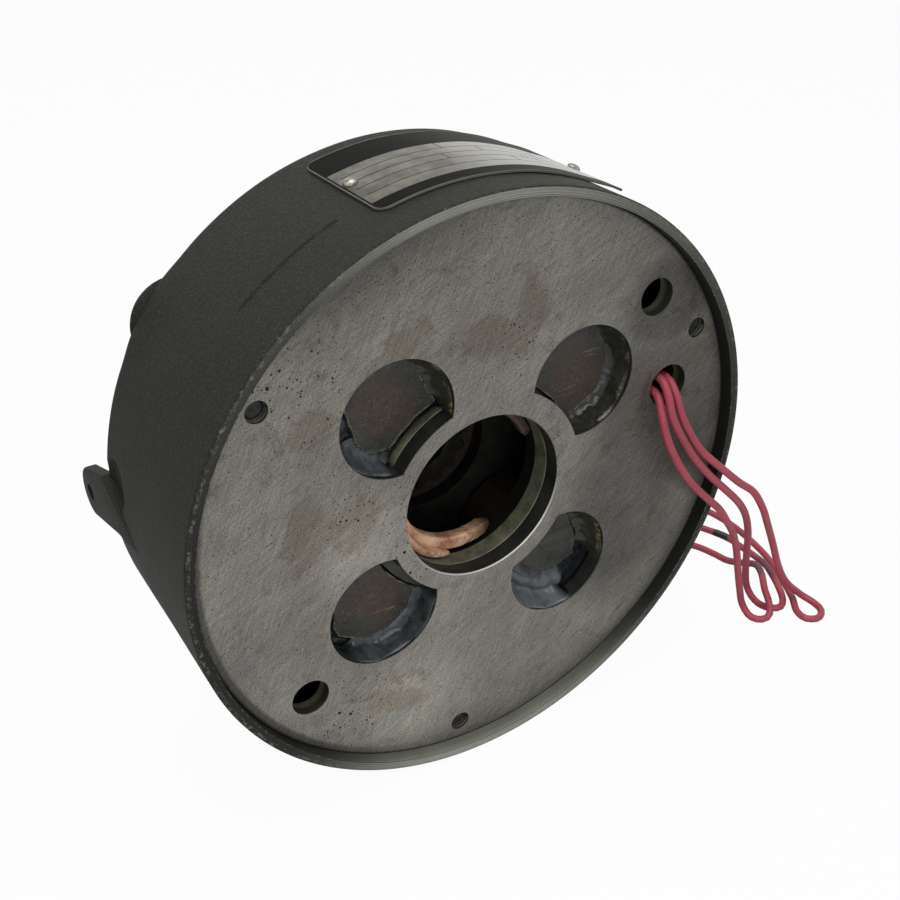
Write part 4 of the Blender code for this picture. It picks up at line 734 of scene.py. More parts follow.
# Painted light: lighter towards the bottom, where light from the floor falls.
lift = add_node(tree, "MapRange", {"Value": spread["Z"], "From Min": 0.03, "From Max": -0.09,
                                   "To Min": 0.93, "To Max": 1.05})
toned = add_node(tree, "Mix", {0: 1.0, 6: toned.outputs[2], 7: lift.outputs[0]},
                 data_type="RGBA", blend_type="MULTIPLY")
# Painted light in two ovals on the left.
lightened = add_node(tree, "MapRange", {"Value": patches(PAINTED_LIGHT_OVALS), "From Max": 0.6, "To Min": 1.0, "To Max": 1.35})
toned = add_node(tree, "Mix", {0: 1.0, 6: toned.outputs[2], 7: lightened.outputs[0]},
                 data_type="RGBA", blend_type="MULTIPLY")
# Painted shade in the gap at the rim, round the plate's edge.
painted_gap_shade = add_node(tree, "MapRange", {"Value": radius, "From Min": 0.1037, "From Max": 0.1043,
                                   "To Min": 1.0, "To Max": 0.35})
toned = add_node(tree, "Mix", {0: 1.0, 6: toned.outputs[2], 7: painted_gap_shade.outputs[0]},
                 data_type="RGBA", blend_type="MULTIPLY")

# Dirt and the rim's painted shadow lie against the rim on the left, in a strip 3 mm wide.
beside = add_node(tree, "Math", {0: drift.outputs["Fac"], 1: 0.0016, 2: radius}, operation="MULTIPLY_ADD")
beside = add_node(tree, "MapRange", {"Value": beside.outputs[0], "From Min": 0.1020, "From Max": 0.1032})
to_left = add_node(tree, "MapRange", {"Value": spread["X"], "From Min": -0.030, "From Max": -0.070})
below = add_node(tree, "MapRange", {"Value": spread["Z"], "From Min": 0.050, "From Max": 0.010})
beside = add_node(tree, "Math", {0: beside.outputs[0], 1: to_left.outputs[0]}, operation="MULTIPLY")
beside = add_node(tree, "Math", {0: beside.outputs[0], 1: below.outputs[0]}, operation="MULTIPLY")
dirt_and_shadow = add_node(tree, "MapRange", {"Value": beside.outputs[0], "To Min": 1.0, "To Max": 0.42})
toned = add_node(tree, "Mix", {0: 1.0, 6: toned.outputs[2], 7: dirt_and_shadow.outputs[0]},
                 data_type="RGBA", blend_type="MULTIPLY")

# Scratches: one dense lay each way, and a few long dark and bright ones.
lay = scratches(24, 0.020, 0.0006, 0.35, 0.75)
cross = scratches(66, 0.014, 0.0007, 0.35, 0.75)
lines = add_node(tree, "Math", {0: lay, 1: cross}, operation="ADD").outputs[0]
scored = add_node(tree, "MapRange", {"Value": lines, "From Min": 0.4, "From Max": 1.6,
                                     "To Min": 0.75, "To Max": 1.24})
toned = add_node(tree, "Mix", {0: 1.0, 6: toned.outputs[2], 7: scored.outputs[0]},
                 data_type="RGBA", blend_type="MULTIPLY")
gritty = add_node(tree, "MapRange", {"Value": grit.outputs["Fac"], "From Min": 0.3, "From Max": 0.7,
                                     "To Min": 0.65, "To Max": 1.31})
toned = add_node(tree, "Mix", {0: 1.0, 6: toned.outputs[2], 7: gritty.outputs[0]},
                 data_type="RGBA", blend_type="MULTIPLY")
dark_marks = scratches(28, 0.008, 0.0007, 0.655, 0.74)
toned = add_node(tree, "Mix", {0: dark_marks, 6: toned.outputs[2], 7: linear("#4a4641")}, data_type="RGBA")
bright_marks = scratches(-35, 0.014, 0.0006, 0.69, 0.76)
toned = add_node(tree, "Mix", {0: bright_marks, 6: toned.outputs[2], 7: linear("#a5a199")}, data_type="RGBA")

# Rust pits up to 0.6 mm across, thickest in the fields, and a fine scatter of them everywhere.
holes = 0.0
for cell_scale, least, most in ((480.0, 0.06, 0.36), (900.0, 0.24, 0.32)):
    cells = add_node(tree, "TexVoronoi", {"Vector": place, "Scale": cell_scale, "Randomness": 1.0})
    size = add_node(tree, "MapRange", {"Value": patches(PIT_FIELDS), "From Max": 0.7,
                                       "To Min": least, "To Max": most})
    keep = add_node(tree, "SeparateXYZ", {0: cells.outputs["Color"]})
    keep = add_node(tree, "Math", {0: keep.outputs[0], 1: 2.0}, operation="POWER")
    chosen = add_node(tree, "Math", {0: keep.outputs[0], 1: size.outputs[0]}, operation="MULTIPLY")
    pit = add_node(tree, "Math", {0: cells.outputs["Distance"], 1: chosen.outputs[0]}, operation="LESS_THAN")
    holes = add_node(tree, "Math", {0: holes, 1: pit.outputs[0]}, operation="MAXIMUM").outputs[0]
pitted = add_node(tree, "Mix", {0: holes, 6: toned.outputs[2], 7: linear("#24201d")}, data_type="RGBA")

# Painted highlight: the bore's broken edge is painted bright at the bottom, where it catches the light.
bore_edge = add_node(tree, "MapRange", {"Value": radius, "From Min": BORE_RADIUS + 0.0006,
                                        "From Max": BORE_RADIUS + 0.0004})
painted_edge_highlight = add_node(tree, "MapRange", {"Value": spread["Z"], "From Min": -0.002, "From Max": -0.018})
painted_edge_highlight = add_node(tree, "Math", {0: bore_edge.outputs[0], 1: painted_edge_highlight.outputs[0]}, operation="MULTIPLY")
pitted = add_node(tree, "Mix", {0: painted_edge_highlight.outputs[0], 6: pitted.outputs[2], 7: linear("#b5b3ab")},
                  data_type="RGBA")

# Walls of the holes: black round the bore, mottled olive in the windows and drilled holes.
wall_tone = add_node(tree, "ValToRGB", {"Fac": blotch.outputs["Fac"]})
wall_tone.color_ramp.elements[0].position = 0.40
wall_tone.color_ramp.elements[0].color = linear("#121310")
wall_tone.color_ramp.elements[1].position = 0.70
wall_tone.color_ramp.elements[1].color = linear("#2c2d26")
drilled_wall = add_node(tree, "MapRange", {"Value": radius, "From Min": 0.072, "From Max": 0.073})
deeper = add_node(tree, "MapRange", {"Value": spread["Y"], "From Min": 0.0030, "From Max": 0.0048})
drilled_tone = add_node(tree, "Mix", {0: deeper.outputs[0], 6: linear("#2a2922"), 7: linear("#6e6e57")},
                        data_type="RGBA")
wall_colour = add_node(tree, "Mix", {0: drilled_wall.outputs[0], 6: wall_tone.outputs["Color"],
                                     7: drilled_tone.outputs[2]}, data_type="RGBA")
wall = add_node(tree, "MapRange", {"Value": spread["Y"], "From Min": 0.00033, "From Max": 0.00042})
walled = add_node(tree, "Mix", {0: wall.outputs[0], 6: pitted.outputs[2], 7: wall_colour.outputs[2]},
                  data_type="RGBA")
tree.links.new(walled.outputs[2], shader.inputs["Base Color"])
bare = add_node(tree, "MapRange", {"Value": wall.outputs[0], "To Min": 0.75, "To Max": 0.1})
tree.links.new(bare.outputs[0], shader.inputs["Metallic"])
rough = add_node(tree, "MapRange", {"Value": lines, "From Min": 0.4, "From Max": 1.6,
                                    "To Min": 0.54, "To Max": 0.38})
tree.links.new(rough.outputs[0], shader.inputs["Roughness"])
sunk = add_node(tree, "Math", {0: holes, 1: -2.0, 2: lines}, operation="MULTIPLY_ADD")
grained = add_node(tree, "Math", {0: grit.outputs["Fac"], 1: 0.9, 2: sunk.outputs[0]},
                   operation="MULTIPLY_ADD")
relief = add_node(tree, "Bump", {"Height": grained.outputs[0], "Distance": 0.00005, "Strength": 0.7})
tree.links.new(relief.outputs[0], shader.inputs["Normal"])
fit_piece(plate, steel, replaces=["mounting_plate"])

# The tapped holes' threads, drawn as a helix of the real 1.25 mm pitch standing in each hole.
shape = bmesh.new()
turns = 4
steps = 40
for angle in BOSS_ANGLES:
    centre = around(SCREW_CIRCLE, angle, 0.0)
    low = 0.0006
    tooth = [shape.verts.new(centre + Vector((radius, y, 0))) for radius, y in (
        (TAPPED_RADIUS + 0.0001, low), (TAPPED_RADIUS - 0.0005, low + THREAD_PITCH * 0.42),
        (TAPPED_RADIUS - 0.0005, low + THREAD_PITCH * 0.52), (TAPPED_RADIUS + 0.0001, low + THREAD_PITCH * 0.94))]
    face = shape.faces.new(tooth)
    swept = bmesh.ops.spin(shape, geom=[face], cent=centre, axis=(0, 1, 0), angle=2 * math.pi * turns,
                           dvec=(0, THREAD_PITCH / steps, 0), steps=steps * turns, use_merge=False)
threads = add_loose("tapped_threads", shape)
fit_piece(threads, steel)


# Bore collar
# A short turned steel ring that seats the magnet on the plate, round the bore. It is plated and has
# gone a dull olive. Its outside shows in the windows, its bore shows behind the plate's.
COLLAR_RADIUS = 0.0362
COLLAR_BACK_Y = 0.0140

shape = turn_profile([(BORE_RADIUS, LEDGE_Y + 0.0002), (BORE_RADIUS + 0.0002, LEDGE_Y),
                      (COLLAR_RADIUS - 0.0016, LEDGE_Y), (COLLAR_RADIUS - 0.0008, LEDGE_Y + 0.0002),
                      (COLLAR_RADIUS - 0.0002, LEDGE_Y + 0.0008), (COLLAR_RADIUS, LEDGE_Y + 0.0016),
                      (COLLAR_RADIUS, 0.0104), (COLLAR_RADIUS - 0.0004, 0.0112),
                      (COLLAR_RADIUS - 0.0012, 0.0118), (COLLAR_RADIUS - 0.0012, COLLAR_BACK_Y),
                      (BORE_RADIUS + 0.0006, COLLAR_BACK_Y), (BORE_RADIUS, COLLAR_BACK_Y - 0.0006),
                      (BORE_RADIUS, 0.0110)], 200)
collar = add_loose("turned_collar", shape)

# Dull plated steel: olive, half matt, with cloudy tarnish and fine turning marks round the ring.
olive = bpy.data.materials.new("dull_olive_plate")
olive.use_nodes = True
tree = olive.node_tree
shader = tree.nodes["Principled BSDF"]
place = add_node(tree, "TexCoord").outputs["Object"]
tarnish = add_node(tree, "TexNoise", {"Vector": place, "Scale": 170.0, "Detail": 5.0, "Roughness": 0.65})
along = add_node(tree, "Mapping", {"Vector": place, "Scale": (60.0, 2400.0, 60.0)})
turning = add_node(tree, "TexNoise", {"Vector": along.outputs[0], "Scale": 1.0, "Detail": 2.0})
tone = add_node(tree, "ValToRGB", {"Fac": tarnish.outputs["Fac"]})
tone.color_ramp.elements[0].position = 0.30
tone.color_ramp.elements[0].color = linear("#4c4d42")
tone.color_ramp.elements[1].position = 0.70
tone.color_ramp.elements[1].color = linear("#86866f")
tree.links.new(tone.outputs["Color"], shader.inputs["Base Color"])
shader.inputs["Metallic"].default_value = 0.35
shader.inputs["Roughness"].default_value = 0.52
relief = add_node(tree, "Bump", {"Height": turning.outputs["Fac"], "Distance": 0.00008, "Strength": 0.5})
tree.links.new(relief.outputs[0], shader.inputs["Normal"])
fit_piece(collar, olive, replaces=["bore_collar"])


# Poles in the windows
# Behind each window is the flat head of one of the magnet's four iron poles. Its edge is chipped and
# the varnish and potting resin round it have pooled, run up the window's wall and set in lumps.
HEAD_RADIUS = 0.0202
HEAD_Y = 0.0095
HEAD_BACK_Y = 0.0140
SHANK_RADIUS = 0.0120
POLE_FACE_Y = 0.0368

# The flat of each head is an outline in (x, z). Lumps are a line, radius and height. Inner is the
# radius where the head is cut off for the collar, and a ledge of plated iron may lie inside the flat.
POLES = {
    "upper_right": {
        "flat": [(0.0258, 0.0312), (0.0347, 0.0222), (0.0380, 0.0160), (0.0404, 0.0102), (0.0438, 0.0162),
                 (0.0533, 0.0220), (0.0561, 0.0281), (0.0562, 0.0368), (0.0524, 0.0470), (0.0455, 0.0500),
                 (0.0350, 0.0480), (0.0240, 0.0400)],
        "lumps": [([(0.0440, 0.0100), (0.0462, 0.0108)], 0.0042, 0.0026)],
        "rust": (0.0425, 0.0290), "inner": 0.0402, "ledge": 0.0},
    "upper_left": {
        "flat": [(-0.0445, 0.0364), (-0.0464, 0.0420), (-0.0440, 0.0490), (-0.0370, 0.0560),
                 (-0.0270, 0.0580), (-0.0215, 0.0520), (-0.0170, 0.0426), (-0.0138, 0.0365),
                 (-0.0206, 0.0330), (-0.0269, 0.0279), (-0.0310, 0.0238), (-0.0394, 0.0248),
                 (-0.0430, 0.0300)],
        "lumps": [([(-0.0380, 0.0205), (-0.0350, 0.0187)], 0.0046, 0.0030)],
        "rust": (-0.0325, 0.0400), "inner": 0.0372, "ledge": 0.0},
    "lower_left": {
        "flat": [(-0.0370, -0.0170), (-0.0325, -0.0255), (-0.0290, -0.0294), (-0.0240, -0.0338),
                 (-0.0192, -0.0372), (-0.0210, -0.0390), (-0.0264, -0.0452), (-0.0336, -0.0494),
                 (-0.0445, -0.0485), (-0.0525, -0.0440), (-0.0542, -0.0395), (-0.0530, -0.0280),
                 (-0.0460, -0.0190)],
        "lumps": [([(-0.0450, -0.0520), (-0.0340, -0.0528)], 0.0036, 0.0016)],
        "rust": (-0.0370, -0.0330), "inner": 0.0368, "ledge": 0.0403},
    "lower_right": {
        "flat": [(0.0165, -0.0345), (0.0240, -0.0290), (0.0310, -0.0215), (0.0400, -0.0230),
                 (0.0434, -0.0288), (0.0468, -0.0394), (0.0466, -0.0470), (0.0380, -0.0500),
                 (0.0270, -0.0490), (0.0190, -0.0430)],
        "lumps": [([(0.0195, -0.0455), (0.0240, -0.0497), (0.0315, -0.0543), (0.0385, -0.0558)], 0.0048,
                   0.0034)],
        "rust": (0.0800, 0.0), "inner": 0.0368, "ledge": 0.0}}


def line_gap(x, z, line):
    """Distance from a point to a line of (x, z) points."""
    nearest = 1.0
    for (x1, z1), (x2, z2) in zip(line, line[1:]):
        run_x, run_z = x2 - x1, z2 - z1
        share = ((x - x1) * run_x + (z - z1) * run_z) / (run_x ** 2 + run_z ** 2)
        share = min(max(share, 0.0), 1.0)
        nearest = min(nearest, math.hypot(x - x1 - share * run_x, z - z1 - share * run_z))
    return nearest


def edge_gap(x, z, outline):
    """Distance from a point to a closed outline, negative inside it."""
    inside = False
    for (x1, z1), (x2, z2) in zip(outline, outline[1:] + outline[:1]):
        if (z1 > z) != (z2 > z) and x < (x2 - x1) * (z - z1) / (z2 - z1) + x1:
            inside = not inside
    gap = line_gap(x, z, outline + outline[:1])
    return -gap if inside else gap


# Varnished iron. The flat is red-brown rust under old varnish, with pale chipped edges and fine
# scratches. Round it lies dark blue-grey resin with a wet gloss, mottled at about 1.5 mm.
pole_iron = bpy.data.materials.new("varnished_pole_iron")
pole_iron.use_nodes = True
tree = pole_iron.node_tree
shader = tree.nodes["Principled BSDF"]
place = add_node(tree, "TexCoord").outputs["Object"]
layers = add_node(tree, "Attribute", attribute_name="finish")
layer = add_node(tree, "SeparateXYZ", {0: layers.outputs["Vector"]}).outputs
cloud = add_node(tree, "TexNoise", {"Vector": place, "Scale": 85.0, "Detail": 8.0, "Roughness": 0.72,
                                    "Distortion": 0.7})
grit = add_node(tree, "TexNoise", {"Vector": place, "Scale": 700.0, "Detail": 4.0, "Roughness": 0.7})
dull = add_node(tree, "ValToRGB", {"Fac": cloud.outputs["Fac"]})
dull.color_ramp.elements[0].position = 0.35
dull.color_ramp.elements[0].color = linear("#17191a")
dull.color_ramp.elements[1].position = 0.68
dull.color_ramp.elements[1].color = linear("#45433c")
rusty = add_node(tree, "ValToRGB", {"Fac": grit.outputs["Fac"]})
rusty.color_ramp.elements[0].position = 0.30
rusty.color_ramp.elements[0].color = linear("#2a201a")
rusty.color_ramp.elements[1].position = 0.72
rusty.color_ramp.elements[1].color = linear("#524131")
flat_tone = add_node(tree, "Mix", {0: layer["X"], 6: dull.outputs["Color"], 7: rusty.outputs["Color"]},
                     data_type="RGBA")
scratch_way = add_node(tree, "Mapping", {"Vector": place, "Rotation": (0, math.radians(45), 0),
                                         "Scale": (65.0, 1.0, 950.0)})
scratch = add_node(tree, "TexNoise", {"Vector": scratch_way.outputs[0], "Scale": 1.0, "Detail": 4.0,
                                      "Distortion": 0.9})
scored = add_node(tree, "MapRange", {"Value": scratch.outputs["Fac"], "From Min": 0.66, "From Max": 0.74,
                                     "To Max": 0.6})
flat_tone = add_node(tree, "Mix", {0: scored.outputs[0], 6: flat_tone.outputs[2], 7: linear("#8a7a6b")},
                     data_type="RGBA")
mottle = add_node(tree, "ValToRGB", {"Fac": grit.outputs["Fac"]})
mottle.color_ramp.elements[0].position = 0.38
mottle.color_ramp.elements[0].color = linear("#121516")
mottle.color_ramp.elements[1].position = 0.72
mottle.color_ramp.elements[1].color = linear("#31373a")
wet = add_node(tree, "Mix", {0: layer["Z"], 6: flat_tone.outputs[2], 7: mottle.outputs["Color"]},
               data_type="RGBA")
# Painted reflection: lumps of resin are painted silvery grey.
painted_sheen = add_node(tree, "MapRange", {"Value": layer["Z"], "From Min": 1.0, "From Max": 2.0,
                                      "To Max": 0.75})
wet = add_node(tree, "Mix", {0: painted_sheen.outputs[0], 6: wet.outputs[2], 7: linear("#686d6f")},
               data_type="RGBA")
chipped = add_node(tree, "Math", {0: layer["Y"], 1: grit.outputs["Fac"]}, operation="MULTIPLY")
chip = add_node(tree, "MapRange", {"Value": chipped.outputs[0], "From Min": 0.30, "From Max": 0.48,
                                   "To Max": 0.85})
edged = add_node(tree, "Mix", {0: chip.outputs[0], 6: wet.outputs[2], 7: linear("#9a917f")}, data_type="RGBA")
specks = add_node(tree, "TexNoise", {"Vector": place, "Scale": 1300.0, "Detail": 2.0})
specks = add_node(tree, "MapRange", {"Value": specks.outputs["Fac"], "From Min": 0.66, "From Max": 0.72,
                                     "To Max": 0.5})
edged = add_node(tree, "Mix", {0: specks.outputs[0], 6: edged.outputs[2], 7: linear("#857c6e")},
                 data_type="RGBA")
tree.links.new(edged.outputs[2], shader.inputs["Base Color"])
rough = add_node(tree, "MapRange", {"Value": layer["Z"], "To Min": 0.58, "To Max": 0.24})
tree.links.new(rough.outputs[0], shader.inputs["Roughness"])
level = add_node(tree, "Math", {0: grit.outputs["Fac"], 1: 0.5, 2: cloud.outputs["Fac"]},
                 operation="MULTIPLY_ADD")
relief = add_node(tree, "Bump", {"Height": level.outputs[0], "Distance": 0.0005, "Strength": 0.5})
tree.links.new(relief.outputs[0], shader.inputs["Normal"])

ring_count = 46
for number, (name, angle) in enumerate(zip(POLES, WINDOW_ANGLES), 1):
    pole = POLES[name]
    centre = around(WINDOW_CIRCLE, angle, 0.0)
    profile = [(HEAD_RADIUS * step / ring_count, HEAD_Y) for step in range(ring_count + 1)]
    profile += [(HEAD_RADIUS, HEAD_BACK_Y), (SHANK_RADIUS, HEAD_BACK_Y), (SHANK_RADIUS, POLE_FACE_Y),
                (0.0, POLE_FACE_Y)]
    shape = turn_profile(profile, 180)
    finish = shape.verts.layers.float_vector.new("finish")
    for vertex in shape.verts:
        reach = math.hypot(vertex.co.x, vertex.co.z)
        front = vertex.co.y < HEAD_Y + 0.0001
        if reach > 1e-6 and (front or reach > SHANK_RADIUS + 0.0001):
            way = Vector((vertex.co.x, 0.0, vertex.co.z)) / reach
            towards = centre.dot(way)
            square = towards ** 2 - WINDOW_CIRCLE ** 2 + pole["inner"] ** 2
            limit = HEAD_RADIUS
            if square > 0 and towards < 0:
                limit = min(limit, -towards - math.sqrt(square))
            reach *= limit / HEAD_RADIUS
            vertex.co.x, vertex.co.z = way.x * reach, way.z * reach
        vertex.co += centre
        if not front:
            vertex[finish] = (0.0, 0.0, 0.6)
            continue
        x, z = vertex.co.x, vertex.co.z
        gap = edge_gap(x, z, pole["flat"])
        wobble = noise.noise(Vector((x, 0.0, z)) * 260)
        gap += 0.0004 * wobble
        edge = math.exp(-(gap / 0.00034) ** 2)
        drop = smooth_step(gap / 0.0011)
        swell = 0.0
        # Lumps carry a painted silvery reflection.
        silver_and_sheen = 0.0
        for line, size, height in pole["lumps"]:
            far = line_gap(x, z, line) / size
            swell = max(swell, height * smooth_step(1.15 - far))
            silver_and_sheen = max(silver_and_sheen, smooth_step(1.3 - far))
        vertex.co.y += (0.0013 + 0.0007 * wobble) * drop - 0.00022 * edge - swell
        vertex.co.y += 0.00006 * noise.noise(Vector((x, 0.0, z)) * 90)
        far = math.hypot(x - pole["rust"][0], z - pole["rust"][1]) / 0.0125
        rust = smooth_step(1.25 - far + 0.45 * noise.noise(Vector((x, 7.0, z)) * 160))
        pooled = max(drop, smooth_step(swell / 0.0008))
        if math.hypot(x, z) < pole["ledge"] + 0.0008:
            groove = smooth_step((math.hypot(x, z) - pole["ledge"]) / 0.0003)
            vertex.co.y = HEAD_Y - 0.0012 + 0.004 * groove
            edge, pooled = 0.0, 0.35
        if name == "lower_right":
            edge *= 0.12
        vertex[finish] = (rust * (1 - drop), edge * (1 - silver_and_sheen), pooled + silver_and_sheen)
    head = add_loose(f"pole_head_{name}", shape)
    fit_piece(head, pole_iron, replaces=[f"pole_core_{number}"], sharp=50)

# Potting resin, poured and set: blue-black to grey, mottled at about 4 mm, with a wet gloss, pale
# specks of dust set in it, and ochre or cream where it has feathered out at its upper edge.
resin = bpy.data.materials.new("poured_resin")
resin.use_nodes = True
tree = resin.node_tree
shader = tree.nodes["Principled BSDF"]
place = add_node(tree, "TexCoord").outputs["Object"]
layers = add_node(tree, "Attribute", attribute_name="finish")
layer = add_node(tree, "SeparateXYZ", {0: layers.outputs["Vector"]}).outputs
cloud = add_node(tree, "TexNoise", {"Vector": place, "Scale": 160.0, "Detail": 5.0, "Roughness": 0.55,
                                    "Distortion": 0.4})
dust = add_node(tree, "TexNoise", {"Vector": place, "Scale": 950.0, "Detail": 4.0, "Roughness": 0.7})
mottle = add_node(tree, "ValToRGB", {"Fac": cloud.outputs["Fac"]})
mottle.color_ramp.elements[0].position = 0.38
mottle.color_ramp.elements[0].color = linear("#0d1011")
mottle.color_ramp.elements[1].position = 0.70
mottle.color_ramp.elements[1].color = linear("#31373a")
dusty = add_node(tree, "MapRange", {"Value": dust.outputs["Fac"], "From Min": 0.62, "From Max": 0.72,
                                    "To Max": 0.55})
speckled = add_node(tree, "Mix", {0: dusty.outputs[0], 6: mottle.outputs["Color"], 7: linear("#83857d")},
                    data_type="RGBA")
olive_cast = add_node(tree, "Math", {0: layer["X"], 1: 0.75}, operation="MULTIPLY")
speckled = add_node(tree, "Mix", {0: olive_cast.outputs[0], 6: speckled.outputs[2], 7: linear("#3a392c")},
                    data_type="RGBA")
# Painted reflection: the thick runs are painted silvery grey in the mottle's lighter places.
painted_sheen = add_node(tree, "Math", {0: layer["Z"], 1: cloud.outputs["Fac"]}, operation="MULTIPLY")
painted_sheen = add_node(tree, "MapRange", {"Value": painted_sheen.outputs[0], "From Min": 0.05, "From Max": 0.50,
                                      "To Max": 0.95})
speckled = add_node(tree, "Mix", {0: painted_sheen.outputs[0], 6: speckled.outputs[2], 7: linear("#70767a")},
                    data_type="RGBA")
feather = add_node(tree, "Math", {0: layer["Y"], 1: dust.outputs["Fac"]}, operation="MULTIPLY")
feather = add_node(tree, "MapRange", {"Value": feather.outputs[0], "From Min": 0.34, "From Max": 0.50,
                                      "To Max": 0.8})
fringe = add_node(tree, "Mix", {0: layer["X"], 6: linear("#7d776a"), 7: linear("#957a4c")}, data_type="RGBA")
fringed = add_node(tree, "Mix", {0: feather.outputs[0], 6: speckled.outputs[2], 7: fringe.outputs[2]},
                   data_type="RGBA")
tree.links.new(fringed.outputs[2], shader.inputs["Base Color"])
rough = add_node(tree, "MapRange", {"Value": cloud.outputs["Fac"], "From Min": 0.35, "From Max": 0.65,
                                    "To Min": 0.12, "To Max": 0.34})
tree.links.new(rough.outputs[0], shader.inputs["Roughness"])
shader.inputs["Specular IOR Level"].default_value = 0.35
level = add_node(tree, "Math", {0: dust.outputs["Fac"], 1: 0.25, 2: cloud.outputs["Fac"]},
                 operation="MULTIPLY_ADD")
relief = add_node(tree, "Bump", {"Height": level.outputs[0], "Distance": 0.0007, "Strength": 0.22})
tree.links.new(relief.outputs[0], shader.inputs["Normal"])

# Resin that has run up the windows' walls: window, first and last direction, highest point, how
# ochre it has gone, how thick it is and how much painted silvery sheen it has.
RUNS = (("upper_right", 58, -95, 0.0012, 0.55, 1.0, 0.0), ("upper_left", 84, -12, 0.0016, 0.9, 1.0, 0.0),
        ("upper_left", -88, -158, 0.0020, 0.0, 1.2, 0.45), ("lower_left", 2, -128, 0.0010, 0.0, 1.0, 0.3),
        ("lower_right", 72, -20, 0.0010, 1.0, 1.0, 0.0), ("lower_right", -66, -172, 0.0010, 0.0, 1.1, 1.0))
for number, (name, first, last, top, ochre, bulk, silver_and_sheen) in enumerate(RUNS, 1):
    centre = around(WINDOW_CIRCLE, WINDOW_ANGLES[list(POLES).index(name)], 0.0)
    wall = WINDOW_RADIUS - 0.00005
    section = [(wall, top), (wall, 0.0102), (0.0150, 0.0102), (0.0163, 0.0097), (0.0176, 0.0089),
               (0.0186, 0.0077), (0.0193, 0.0062), (0.0198, 0.0046), (0.0202, 0.0028), (0.02045, top + 0.0004)]
    shape = bmesh.new()
    ring = [shape.verts.new((radius * math.cos(math.radians(last)), y, radius * math.sin(math.radians(last))))
            for radius, y in section]
    face = shape.faces.new(ring)
    steps = int(abs(first - last) * 1.4)
    bmesh.ops.spin(shape, geom=[face], cent=(0, 0, 0), axis=(0, 1, 0), angle=-math.radians(first - last),
                   steps=steps, use_merge=False)
    bmesh.ops.subdivide_edges(shape, edges=[edge for edge in shape.edges if edge.calc_length() > 0.0012],
                              cuts=1, use_grid_fill=True)
    finish = shape.verts.layers.float_vector.new("finish")
    for vertex in shape.verts:
        reach = math.hypot(vertex.co.x, vertex.co.z)
        way = Vector((vertex.co.x, 0.0, vertex.co.z)) / reach
        turn = math.degrees(math.atan2(way.z, way.x))
        share = smooth_step((turn - last) / 14) * smooth_step((first - turn) / 14)
        rough_run = noise.noise((vertex.co + centre) * 170) + 0.5 * noise.noise((vertex.co + centre) * 520)
        inward = (wall - reach) * share * bulk * (1 + 0.16 * rough_run)
        if reach < wall - 0.0001:
            inward += 0.00022 * (1 + rough_run) * share
        reach = wall - max(inward, 0.0)
        if vertex.co.y < 0.0030:
            vertex.co.y += 0.0014 * max(noise.noise((vertex.co + centre) * 140), -0.4)
        vertex.co.x, vertex.co.z = way.x * reach, way.z * reach
        edge = smooth_step((0.0052 - vertex.co.y) / 0.003) * smooth_step(0.3 + rough_run)
        vertex[finish] = (ochre, edge * (0.5 + 0.5 * ochre), silver_and_sheen * share)
        vertex.co += centre
    fit_piece(add_loose(f"resin_run_{number}", shape), resin, sharp=60)


# Coil tails
# The ends of the coils, brought round the bore behind the collar in two bundles. Each is enamelled
# copper under a lapped wrap of varnished cloth tape, which has cracked.
bundles = (("coil_wrap_lower", 240, 116, 0.0264, 0.0026, 0.0164, 0.0025, 0.22, ["coil_tail_1"]),
           ("coil_wrap_end", 209, 94, 0.0283, 0.0014, 0.0118, 0.0034, 0.80, []),
           ("coil_wrap_upper", 64, 92, 0.0278, 0.0018, 0.0148, 0.0024, 0.22, ["coil_tail_2"]))

# Varnished cloth over copper: salmon to tan, half glossy, darker brown in the laps and in the cracks.
wrap = bpy.data.materials.new("varnished_coil_wrap")
wrap.use_nodes = True
tree = wrap.node_tree
shader = tree.nodes["Principled BSDF"]
place = add_node(tree, "TexCoord").outputs["Object"]
cloud = add_node(tree, "TexNoise", {"Vector": place, "Scale": 120.0, "Detail": 5.0, "Roughness": 0.6})
tone = add_node(tree, "ValToRGB", {"Fac": cloud.outputs["Fac"]})
tone.color_ramp.elements[0].position = 0.32
tone.color_ramp.elements[0].color = linear("#c48e6c")
tone.color_ramp.elements[1].position = 0.66
tone.color_ramp.elements[1].color = linear("#fbd3af")
torn = add_node(tree, "TexNoise", {"Vector": place, "Scale": 150.0, "Detail": 7.0, "Roughness": 0.7,
                                   "Distortion": 1.2})
crack = add_node(tree, "MapRange", {"Value": torn.outputs["Fac"], "From Min": 0.52, "From Max": 0.60,
                                    "To Max": 0.7})
cracked = add_node(tree, "Mix", {0: crack.outputs[0], 6: tone.outputs["Color"], 7: linear("#8a4a35")},
                   data_type="RGBA")
spread = add_node(tree, "SeparateXYZ", {0: place}).outputs
# Darker brown towards +X, almost black at the right ends of the bundles.
shade = add_node(tree, "MapRange", {"Value": spread["X"], "From Min": 0.003, "From Max": 0.0104,
                                    "To Min": 0.0, "To Max": 0.95})
darkened_right = add_node(tree, "Mix", {0: shade.outputs[0], 6: cracked.outputs[2], 7: linear("#2a1a12")},
                  data_type="RGBA")
tree.links.new(darkened_right.outputs[2], shader.inputs["Base Color"])
shader.inputs["Roughness"].default_value = 0.42
weave = add_node(tree, "TexNoise", {"Vector": place, "Scale": 1400.0, "Detail": 2.0})
relief = add_node(tree, "Bump", {"Height": weave.outputs["Fac"], "Distance": 0.00012, "Strength": 0.4})
tree.links.new(relief.outputs[0], shader.inputs["Normal"])

